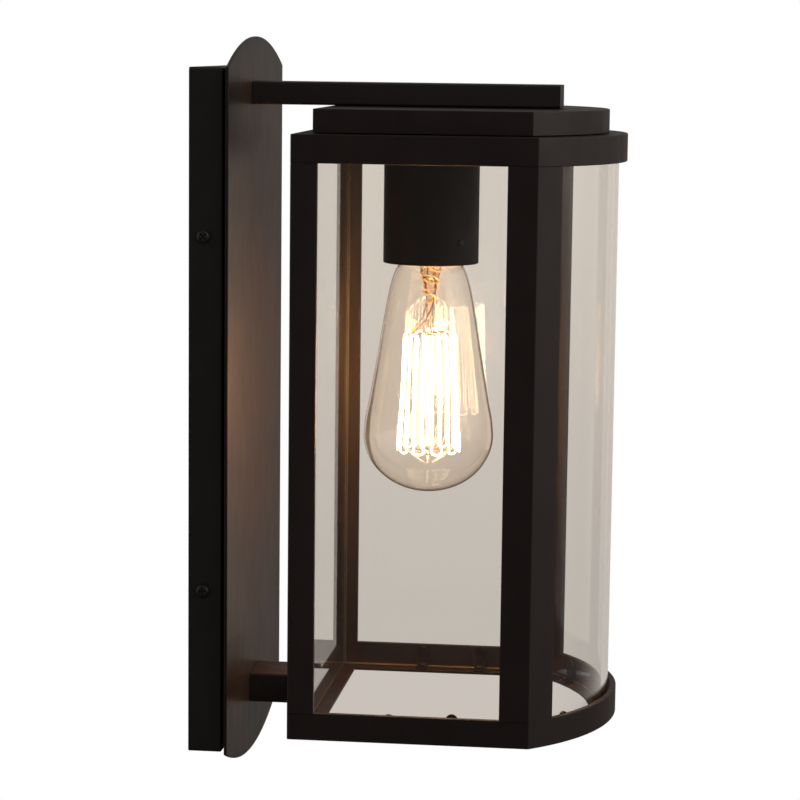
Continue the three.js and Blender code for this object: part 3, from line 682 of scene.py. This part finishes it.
def build_glass():
    chamfer = 0.35 * MM
    for node, across in (("side_glass_left", 0), ("side_glass_right", 0), ("rear_glass", 1)):
        low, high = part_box(node)
        corners = [(low.x, low.y), (high.x, low.y), (high.x, high.y), (low.x, high.y)]
        pane(node, rounded(corners, chamfer, 2), pane_glass,
             lambda face, axis=across: abs(face.normal[axis]) < FLAT_ON)
    rear_low, rear_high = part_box("rear_glass")
    low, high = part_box("front_glass")
    outer = BOW_CENTRE - low.y
    inner = outer - (rear_high.y - rear_low.y)
    spread = math.asin(high.x / outer)
    outline = rounded(
        [*bow_arc(outer, -spread, spread, BOW_STEPS), *bow_arc(inner, spread, -spread, BOW_STEPS)],
        chamfer, 2,
    )

    def on_bow_edge(face):
        radial = Vector((face.center.x, face.center.y - BOW_CENTRE, 0)).normalized()
        return abs(face.normal.dot(radial)) < FLAT_ON

    pane("front_glass", outline, bow_glass, on_bow_edge)


# ------------------------------------------------------------------ screws and clips


def screw(name, head_radius, head_height, shank_radius, length):
    """A pan-head screw with a cross recess, pointing down from its seat at the origin."""
    dome = rounded(
        [(head_radius, 0, 0.1 * MM), (head_radius, head_height * 0.45, head_height * 0.5),
         (head_radius * 0.72, head_height, head_height * 0.9), (0, head_height)],
        0, 6, closed=False,
    )
    profile = [(0, -length), (shank_radius, -length), (shank_radius, 0), *dome]
    body = turned(name, profile, centre=(0, 0), sides=40)
    arm, web = head_radius * 0.55, head_radius * 0.11
    slots = []
    for turn in (0, math.pi / 2):
        outline = rounded([(-arm, -web), (arm, -web), (arm, web), (-arm, web)], web * 0.5, 2)
        slot = prism("slot", outline, head_height * 0.35, head_height * 1.5, web * 0.3)
        slots.append(moved(slot, Matrix.Rotation(turn, 4, "Z")))
    return cut(body, *slots)


def seat_screw(node, axis, head, shank, finish, turn=0.3):
    """Puts a screw where the CAD screw is, its head facing along axis."""
    low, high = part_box(node)
    along = max(range(3), key=lambda i: abs(axis[i]))
    length = high[along] - low[along]
    made = screw(f"{node}_fine", head[0], head[1], shank, length - head[1])
    seat = (low + high) / 2 + Vector(axis) * (length / 2 - head[1])
    facing = Vector((0, 0, 1)).rotation_difference(Vector(axis)).to_matrix().to_4x4()
    spin = Matrix.Rotation(turn, 4, "Z")
    moved(made, Matrix.Translation(seat) @ facing @ spin)
    return stands_for(made, node, finish=finish)


def build_screws():
    turn = 0.2
    for side, sign in SIDES:
        for level in ("lower", "upper"):
            seat_screw(
                f"box_screw_{side}_{level}", (sign, 0, 0), (3.3 * MM, 2 * MM), 1.6 * MM,
                screw_black, turn,
            )
            turn += 0.55
    seat_screw("ground_screw", (0, 1, 0), (3.6 * MM, 2 * MM), 1.6 * MM, green_zinc)
    clips = ("left_rear", "left_front", "right_rear", "right_front", "bow_left", "bow_right")
    for place in clips:
        seat_screw(
            f"clip_screw_{place}", (0, 0, 1), (2.1 * MM, 1.4 * MM), 1.2 * MM, screw_black, turn,
        )
        turn += 0.55
        refine(0.22 * MM, frame_black, f"glass_clip_{place}")


# ------------------------------------------------------------------ wall side


def facing_wall(point, y):
    return Vector((point[0], y, point[1]))


def build_plate():
    low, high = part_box("face_plate")
    half = high.x
    straight = high.z - PLATE_ARCH
    radius = (half**2 + PLATE_ARCH**2) / (2 * PLATE_ARCH)
    spread = math.asin(half / radius)
    top = [
        (radius * math.sin(a), straight + PLATE_ARCH - radius + radius * math.cos(a))
        for a in (spread * (1 - 2 * k / 48) for k in range(49))
    ]
    bottom = [(-x, -z) for x, z in top]
    outline = rounded([*top, *bottom], 0.4 * MM)
    plate = prism("face_plate_fine", outline, low.y, high.y, 0.4 * MM, facing_wall)
    stands_for(plate, "face_plate", finish=plate_black)


def build_box():
    low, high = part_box("back_box")
    section = rounded(
        [(0, high.y), (0, BOX_SHOULDER, 1.0 * MM), (BOX_STEP, BOX_SHOULDER), (BOX_STEP, low.y),
         (BOX_LIP, low.y), (BOX_LIP, low.y + BOX_WALL),
         (BOX_STEP + BOX_WALL, low.y + BOX_WALL), (BOX_STEP + BOX_WALL, BOX_SHOULDER + BOX_WALL),
         (BOX_WALL, BOX_SHOULDER + BOX_WALL), (BOX_WALL, high.y)],
        0.25 * MM,
    )
    rings = []
    for inset, y in section:
        half, tall = high.x - inset, high.z - inset
        corners = [(half, tall), (-half, tall), (-half, -tall), (half, -tall)]
        outline = rounded(corners, max(1.6 * MM - inset, 0.1 * MM))
        rings.append([facing_wall(p, y) for p in outline])
    stands_for(loft("back_box_fine", rings, closed=True), "back_box", finish=box_black)


def build_wall_fittings():
    refine(0.25 * MM, zinc, "mounting_bracket")
    refine(0.6 * MM, foam_black, "wall_gasket")
    refine(0.4 * MM, nylon, "terminal_block")
    refine(0, black_pvc, "lead_live")
    refine(0, white_pvc, "lead_neutral")


# ------------------------------------------------------------------ arms


def arm_outline(low, high, inset):
    left, right, bottom, top = low.x + inset, high.x - inset, low.z + inset, high.z - inset
    corners = [(left, bottom), (right, bottom), (right, top), (left, top)]
    return rounded(corners, max(TUBE_BEND - inset, 0.15 * MM))


def build_arm(node, rear, front):
    """A rectangular tube with open ends, from one Y to a lower one."""
    low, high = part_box(node)
    outer = [(0.2 * MM, rear), (0, rear - 0.2 * MM), (0, front + 0.2 * MM), (0.2 * MM, front)]
    inner = [(TUBE_WALL, front), (TUBE_WALL, rear)]
    rings = [
        [facing_wall(p, y) for p in arm_outline(low, high, inset)] for inset, y in outer + inner
    ]
    stands_for(loft(f"{node}_fine", rings, closed=True), node, finish=arm_black)


def build_arms():
    plate_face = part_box("face_plate")[0].y
    cap_low, cap_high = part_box("upper_arm_end_cap")
    build_arm("upper_arm", plate_face, cap_high.y)
    build_arm("lower_arm", plate_face, REAR)
    outline = arm_outline(cap_low, cap_high, 0)
    cap = prism("upper_arm_end_cap_fine", outline, cap_low.y, cap_high.y, 0.3 * MM, facing_wall)
    stands_for(cap, "upper_arm_end_cap", finish=frame_black)
    inserts = ("upper_arm_insert", "lower_arm_insert")
    bolts = ("upper_arm_bolt_left", "upper_arm_bolt_right", "lower_arm_bolt")
    refine(0.3 * MM, zinc, *inserts, *bolts)


# ------------------------------------------------------------------ lamp holder


def build_cover():
    low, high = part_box("socket_cover")
    radius = high.x
    hole = 5.3 * MM
    section = rounded(
        [(radius - COVER_WALL, low.z), (radius, low.z), (radius, high.z, 1.5 * MM),
         (hole, high.z), (hole, high.z - COVER_WALL),
         (radius - COVER_WALL, high.z - COVER_WALL, 0.6 * MM)],
        0.45 * MM, 5,
    )
    stands_for(turned("socket_cover_fine", section, closed=True), "socket_cover",
               finish=cover_black)


def build_cover_screw():
    low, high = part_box("cover_screw")
    middle = (low + high) / 2
    outward = Vector((middle.x, middle.y - LAMP_Y, 0)).normalized()
    made = screw("cover_screw_fine", 1.5 * MM, 1 * MM, 1.1 * MM, 4.4 * MM)
    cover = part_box("socket_cover")[1].x
    seat = Vector((0, LAMP_Y, middle.z)) + outward * cover
    facing = Vector((0, 0, 1)).rotation_difference(outward).to_matrix().to_4x4()
    moved(made, Matrix.Translation(seat) @ facing)
    stands_for(made, "cover_screw", finish=screw_black)


def build_holder():
    low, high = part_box("lamp_holder")
    radius = high.x
    bore, floor = 14.5 * MM, high.z - 9 * MM
    profile = rounded(
        [(0, floor), (bore, floor), (bore, low.z, 0.6 * MM), (radius - 0.6 * MM, low.z),
         (radius - 0.6 * MM, low.z + 5 * MM), (radius, low.z + 6.5 * MM),
         (radius, high.z, 1.5 * MM), (0, high.z)],
        0.5 * MM, 4, closed=False,
    )
    stands_for(turned("lamp_holder_fine", profile), "lamp_holder", finish=glaze)


def thread_rings(radius_at, low, high, steps, sides=72):
    """Rings of a helical surface: radius_at gives the radius at a height and an angle."""
    rings = []
    for i in range(steps + 1):
        z = low + (high - low) * i / steps
        ring = []
        for k in range(sides):
            angle = 2 * math.pi * k / sides
            radius = radius_at(z, angle)
            ring.append(Vector((radius * math.cos(angle), LAMP_Y + radius * math.sin(angle), z)))
        rings.append(ring)
    return rings


def thread(middle, height, low, high):
    """A rolled right-hand lamp thread that runs out at both ends."""

    def radius_at(z, angle):
        run_out = min(1, max(0, min(z - low, high - z) / (THREAD_PITCH * 0.5)))
        wave = math.cos(2 * math.pi * z / THREAD_PITCH - angle)
        return middle + height / 2 * wave * run_out

    return radius_at


def plain_ring(radius, z, sides=72):
    return [
        Vector((radius * math.cos(a), LAMP_Y + radius * math.sin(a), z))
        for a in (2 * math.pi * k / sides for k in range(sides))
    ]


def build_shell():
    low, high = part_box("screw_shell")
    inner = thread(high.x - 0.45 * MM, 0.5 * MM, low.z, high.z)
    outer = thread(high.x - 0.2 * MM, 0.4 * MM, low.z, high.z)
    rings = thread_rings(inner, low.z, high.z, 60)
    rings += reversed(thread_rings(outer, low.z, high.z, 60))
    stands_for(loft("screw_shell_fine", rings, closed=True), "screw_shell", finish=brass)
    refine(0.15 * MM, brass, "centre_contact")
    refine(0.3 * MM, zinc, "holder_yoke")
    refine(0.25 * MM, zinc, "threaded_nipple", "nipple_nut_upper", "nipple_nut_lower")


# ------------------------------------------------------------------ bulb


def bulb_profile():
    """The envelope's outside from its tip up to its neck, as (radius, z)."""
    radius = BULB_HIGH.x
    tip = BULB_LOW.z
    cap_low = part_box("bulb_cap")[0].z
    widest = tip + 28 * MM
    neck = 11.6 * MM
    steps = 18
    dome = [
        (radius * math.sin(a), widest - (widest - tip) * math.cos(a))
        for a in (math.pi / 2 * k / steps for k in range(steps))
    ]
    knots = [
        (radius, widest), (31.2 * MM, -8 * MM), (29.4 * MM, 1 * MM), (25.7 * MM, 22.6 * MM),
        (20.8 * MM, 52 * MM), (17.2 * MM, 65 * MM), (neck + 2 * MM, cap_low - 2 * MM),
        (neck, cap_low - 0.4 * MM),
    ]
    flank = [tuple(p) for p in smooth_curve(knots, 8)]
    return [*dome, *flank, (neck, cap_low + 6 * MM)]


def build_envelope():
    outside = [Vector(p) for p in bulb_profile()]
    inside = []
    for i, point in enumerate(outside):
        ahead = outside[min(i + 1, len(outside) - 1)] - outside[max(i - 1, 0)]
        inward = Vector((-ahead.y, ahead.x)).normalized()
        inside.append((max(point.x + inward.x * BULB_WALL, 0), point.y + inward.y * BULB_WALL))
    inside[0] = (0, outside[0].y + BULB_WALL)
    profile = [*outside, *reversed(inside)]
    made = turned("bulb_glass_fine", profile)
    stands_for(made, "bulb_glass", finish=bulb_glass)
    made.visible_shadow = False


def build_cap():
    """The lamp's brass cap: a plain skirt crimped on the glass, then the rolled thread."""
    low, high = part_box("bulb_cap")
    wall = 0.3 * MM
    skirt_top = low.z + 2.6 * MM
    thread_top = high.z - 3.2 * MM
    rings = [plain_ring(12.2 * MM, low.z), plain_ring(13 * MM, low.z)]
    rings += [plain_ring(13 * MM, skirt_top - 0.4 * MM), plain_ring(12.8 * MM, skirt_top)]
    rings += thread_rings(thread(12.72 * MM, 0.66 * MM, skirt_top, thread_top),
                          skirt_top + 0.2 * MM, thread_top, 64)
    rings += [plain_ring(12.3 * MM, high.z - 2 * MM), plain_ring(10.6 * MM, high.z - 0.6 * MM)]
    rings += [plain_ring(9.6 * MM, high.z), plain_ring(8.7 * MM, high.z)]
    rings += [plain_ring(10 * MM, high.z - wall * 4), plain_ring(11.9 * MM, high.z - 3 * MM)]
    cap = loft("bulb_cap_fine", rings, closed=True)
    stands_for(cap, "bulb_cap", finish=brass)
    refine(0.3 * MM, vitrite, "bulb_insulator")
    low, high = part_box("bulb_contact")
    profile = rounded(
        [(0, low.z), (4.6 * MM, low.z), (4.6 * MM, high.z - 0.6 * MM, 0.6 * MM),
         (2.6 * MM, high.z, 1.5 * MM), (0, high.z)],
        0.2 * MM, 5, closed=False,
    )
    stands_for(turned("bulb_contact_fine", profile, sides=48), "bulb_contact", finish=tin)


def cage_point(angle, radius, z):
    return Vector((radius * math.cos(angle), LAMP_Y + radius * math.sin(angle), z))


def strand_angle(i):
    return math.pi / 2 + (i + 1) * 2 * math.pi / (STRANDS + 1)


def build_filament():
    """One wire folded up and down round the cage, looped over a hook at each bend."""
    spans = 12
    path = []
    for i in range(STRANDS):
        ends = [
            cage_point(strand_angle(i), CAGE["bottom_radius"], CAGE["bottom"]),
            cage_point(strand_angle(i), CAGE["top_radius"], CAGE["top"]),
        ]
        if i % 2:
            ends.reverse()
        start, end = ends
        for k in range(spans + 1):
            share = k / spans
            slack = Vector((0, 0, 0)) if k in (0, spans) else Vector((
                0.25 * MM * math.sin(7 * share + i * 2.1), 0.25 * MM * math.cos(6 * share + i), 0
            ))
            path.append(start.lerp(end, share) + slack)
    path = smooth_curve(path, 3)
    filament = tube("bulb_filament_fine", path, STRAND_RADIUS, 8)
    stands_for(filament, "bulb_filament", finish=hot)
    filament.visible_diffuse = False


def hooks(name, button_z, angles, reach, end_z):
    """Wires from the glass button on the rod to each bend of the filament, hooked over; the stem
    carries the button.
    """
    parts = []
    for angle in angles:
        out = Vector((math.cos(angle), math.sin(angle), 0))
        start = Vector((0, LAMP_Y, button_z)) + out * ROD_RADIUS
        end = Vector((0, LAMP_Y, end_z)) + out * reach
        middle = start.lerp(end, 0.5) + Vector((0, 0, (start - end).length * 0.06))
        curl = 0.8 * MM if end_z > 0 else -0.8 * MM
        tip = end + out * 0.5 * MM - Vector((0, 0, curl))
        parts.append(tube("wire", smooth_curve([start, middle, end, tip], 6), 0.17 * MM, 8))
    return joined(name, parts)


def build_bulb_inside():
    stem_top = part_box("bulb_stem")[1].z
    profile = [
        (0, -27 * MM), (ROD_RADIUS * 0.8, -26.6 * MM), (ROD_RADIUS * 1.5, -25 * MM),
        (ROD_RADIUS * 1.5, -23.4 * MM), (ROD_RADIUS, -22 * MM), (ROD_RADIUS, 32 * MM),
        (ROD_RADIUS * 1.8, 33.2 * MM), (ROD_RADIUS * 1.9, 35.2 * MM),
        (ROD_RADIUS * 1.5, 37 * MM), (ROD_RADIUS * 1.35, 48 * MM), (2.2 * MM, 51 * MM),
        (3 * MM, 55.5 * MM), (4 * MM, 60.5 * MM),
        (5.4 * MM, 67 * MM), (7.4 * MM, 71 * MM), (10.3 * MM, 73.4 * MM), (10.3 * MM, stem_top),
        (9.6 * MM, stem_top), (6.6 * MM, 71.4 * MM), (4.6 * MM, 67 * MM), (4.1 * MM, 62 * MM),
        (0, 59 * MM),
    ]
    stem = turned("bulb_stem_fine", profile, sides=48)
    stands_for(stem, "bulb_stem", finish=stem_glass)
    stem.visible_shadow = False
    upper = [(strand_angle(i) + strand_angle(i + 1)) / 2 for i in range(0, STRANDS - 1, 2)]
    lower = [(strand_angle(i) + strand_angle(i + 1)) / 2 for i in range(1, STRANDS - 1, 2)]
    top = hooks("bulb_upper_spider_fine", 34.2 * MM, upper, CAGE["top_radius"], CAGE["top"])
    stands_for(top, "bulb_upper_spider", finish=molybdenum)
    bottom = hooks("bulb_lower_spider_fine", -24.2 * MM, lower, CAGE["bottom_radius"],
                   CAGE["bottom"])
    stands_for(bottom, "bulb_lower_spider", finish=molybdenum)
    leads = []
    for i, sign in ((0, -1), (STRANDS - 1, 1)):
        end = cage_point(strand_angle(i), CAGE["top_radius"] * 0.98, CAGE["top"] - 2 * MM)
        side = Vector((0, LAMP_Y + sign * 1.6 * MM, 0))
        route = [
            side + Vector((0, 0, 72 * MM)), side + Vector((0, 0, 60 * MM)),
            side + Vector((0, 0, 52 * MM)), side.lerp(end, 0.25) + Vector((0, 0, 33 * MM)), end,
        ]
        leads.append(tube("lead", smooth_curve(route, 8), 0.25 * MM, 8))
    extra(joined("bulb_lead_wires", leads), "bulb", molybdenum)
    twists = []
    for i in range(2):
        route = []
        for k in range(61):
            share = k / 60
            angle = i * math.pi + share * (4.2 + i) * math.pi
            reach = (5.3 - 3.1 * share + 0.35 * math.sin(5.3 * angle + i)) * MM
            height = (66 - 17 * share + 0.7 * math.sin(2.3 * angle + 2 * i)) * MM
            route.append(cage_point(angle, reach, height))
        twists.append(tube("twist", route, 0.36 * MM, 8))
    extra(joined("bulb_stem_wires", twists), "bulb", gilt)


# ------------------------------------------------------------------ camera and light

CAMERA = {
    "azimuth": -83.208, "elevation": 7.6046, "roll": 0.6675, "distance": 1.3171,
    "target": (-0.00957, -0.09302, 0.00138), "lens": 120.81,
}
FRONT_AXIS = (-0.3, -0.95)  # the way, in x and y, that the studio is brightest
STUDIO_TINT = (1.0, 0.91, 0.86)
BACKDROP = (1.0, 1.0, 1.0)
THROUGH_GLASS_HIGH = (0.775, 0.695, 0.62)
THROUGH_GLASS_LOW = (0.65, 0.59, 0.54)
FLOOR_BOUNCE = (0.06, 0.055, 0.05)
FLOOR_DROP = 1.4
FLOOR_RADIUS = 5.0


def direction(azimuth, elevation):
    """The way from the object towards a place at this azimuth and elevation, in degrees."""
    a, e = math.radians(azimuth), math.radians(elevation)
    return Vector((math.sin(a) * math.cos(e), -math.cos(a) * math.cos(e), math.sin(e)))


def build_camera():
    camera = bpy.data.objects.new("camera", bpy.data.cameras.new("camera"))
    bpy.context.scene.collection.objects.link(camera)
    back = direction(CAMERA["azimuth"], CAMERA["elevation"])
    right = Vector((0, 0, 1)).cross(back).normalized()
    up = back.cross(right)
    roll = math.radians(CAMERA["roll"])
    across = right * math.cos(roll) + up * math.sin(roll)
    above = up * math.cos(roll) - right * math.sin(roll)
    facing = Matrix((across, above, back)).transposed().to_4x4()
    place = Vector(CAMERA["target"]) + back * CAMERA["distance"]
    camera.matrix_world = Matrix.Translation(place) @ facing
    camera.data.sensor_width = 36
    camera.data.lens = CAMERA["lens"]
    camera.data.clip_start = 0.01
    bpy.context.scene.camera = camera


def softbox(name, azimuth, elevation, distance, size, power, colour):
    lamp = bpy.data.lights.new(name, "AREA")
    lamp.shape = "RECTANGLE"
    lamp.size, lamp.size_y = size
    lamp.energy = power
    lamp.color = colour
    made = bpy.data.objects.new(name, lamp)
    bpy.context.scene.collection.objects.link(made)
    back = direction(azimuth, elevation)
    middle = (CAD_BOX[0] + CAD_BOX[1]) / 2
    facing = back.to_track_quat("Z", "Y").to_matrix().to_4x4()
    made.matrix_world = Matrix.Translation(middle + back * distance) @ facing
    made.visible_camera = False
    made.visible_transmission = False
    made.visible_glossy = False


class Shade(Nodes):
    """Nodes for a world or stage that looks one way to the camera and another to light."""

    def __init__(self, tree):
        super().__init__(tree)
        self.path = tree.nodes.new("ShaderNodeLightPath")

    def lobe(self, value, power):
        """The value's positive part, raised to a power."""
        return self.math("POWER", self.math("MAXIMUM", value, 0), power)

    def rise(self, value, start, end, low, high):
        """A smooth rise from low to high as the value goes from start to end."""
        return self.ramp(value, start, end, low, high, interpolation_type="SMOOTHSTEP")

    def seen(self, studio, wall, behind=0.0):
        """White to the camera, warm grey through glass, and the studio for everything else."""
        clear = self.math(
            "MULTIPLY", self.path.outputs["Is Singular Ray"],
            self.math("LESS_THAN", self.path.outputs["Diffuse Depth"], 0.5),
        )
        straight = self.math("LESS_THAN", self.path.outputs["Glossy Depth"], 0.5)
        once = self.math("LESS_THAN", self.path.outputs["Glossy Depth"], 1.5)
        share = self.math("MAXIMUM", straight, self.math("MULTIPLY", once, behind))
        glass = self.blend(self.math("MULTIPLY", clear, share), studio, wall)
        return self.blend(self.path.outputs["Is Camera Ray"], glass, BACKDROP)


def build_world():
    """A soft studio round the lantern: bright in front, dimmer at the back and far side."""
    world = bpy.data.worlds.new("studio")
    bpy.context.scene.world = world
    world.use_nodes = True
    shade = Shade(world.node_tree)
    nodes, links = world.node_tree.nodes, world.node_tree.links
    axes = nodes.new("ShaderNodeSeparateXYZ")
    links.new(nodes.new("ShaderNodeTexCoord").outputs["Generated"], axes.inputs[0])
    x, y, z = axes.outputs
    shares = [shade.math("MULTIPLY", axis, way) for axis, way in zip((x, y), FRONT_AXIS)]
    ahead = shade.total(*shares)
    front = shade.math("MULTIPLY", shade.lobe(ahead, 3.0), shade.rise(z, -0.15, 0.09, 0.03, 1.0))
    far, above, back = shade.lobe(x, 1.5), shade.lobe(z, 1.5), shade.lobe(y, 3.0)
    level = shade.rise(z, -0.5, 0.8, 0.053, 0.11)
    for part, weight in ((front, 1.45), (far, 0.175), (above, 0.05), (back, 0.5)):
        level = shade.total(level, shade.math("MULTIPLY", part, weight))
    tinted = {i: shade.math("MULTIPLY", level, tint) for i, tint in enumerate(STUDIO_TINT)}
    studio = shade.node("ShaderNodeCombineColor", tinted, 0)
    height = shade.rise(z, -0.24, -0.04, 0.0, 1.0)
    wall = shade.blend(height, THROUGH_GLASS_LOW, THROUGH_GLASS_HIGH)
    seen = shade.seen(studio, wall, shade.rise(x, 0.4, 0.9, 0.0, 1.0))
    links.new(seen, nodes["Background"].inputs["Color"])


def build_floor():
    """A pale round floor, far enough below for the lantern to be looked at from underneath."""
    shape = bmesh.new()
    bmesh.ops.create_circle(shape, cap_ends=True, segments=96, radius=FLOOR_RADIUS)
    floor = finished("floor", shape)
    floor.location = (0, 0, CAD_BOX[0].z - FLOOR_DROP)
    material = bpy.data.materials.new("pale_floor")
    material.use_nodes = True
    tree = material.node_tree
    tree.nodes.clear()
    shade = Shade(tree)
    seen = shade.seen(FLOOR_BOUNCE, THROUGH_GLASS_LOW)
    output = tree.nodes.new("ShaderNodeOutputMaterial")
    tree.links.new(shade.node("ShaderNodeEmission", {"Color": seen}, 0), output.inputs["Surface"])
    floor.data.materials.append(material)


def lamp_glow():
    """The warm light that the filament throws on the frame and the wall plate."""
    light = bpy.data.lights.new("lamp_glow", "POINT")
    light.energy = 0.46
    light.color = (1.0, 0.36, 0.05)
    light.shadow_soft_size = 12 * MM
    made = bpy.data.objects.new("lamp_glow", light)
    made.location = (-10 * MM, LAMP_Y, 2 * MM)
    made.visible_camera = False
    made.visible_transmission = False
    bpy.context.scene.collection.objects.link(made)


def build_light():
    scene = bpy.context.scene
    scene.view_settings.view_transform = "Standard"
    scene.view_settings.look = "None"
    softbox(
        "key_front", azimuth=12, elevation=35, distance=1.3, size=(1.0, 1.2), power=4,
        colour=(1.0, 0.95, 0.92),
    )
    lamp_glow()


for build in (
    build_frame, build_posts, build_glass, build_screws, build_plate, build_box,
    build_wall_fittings, build_arms, build_cover, build_cover_screw, build_holder, build_shell,
    build_envelope, build_cap, build_filament, build_bulb_inside, build_camera, build_world,
    build_floor, build_light,
):
    build()
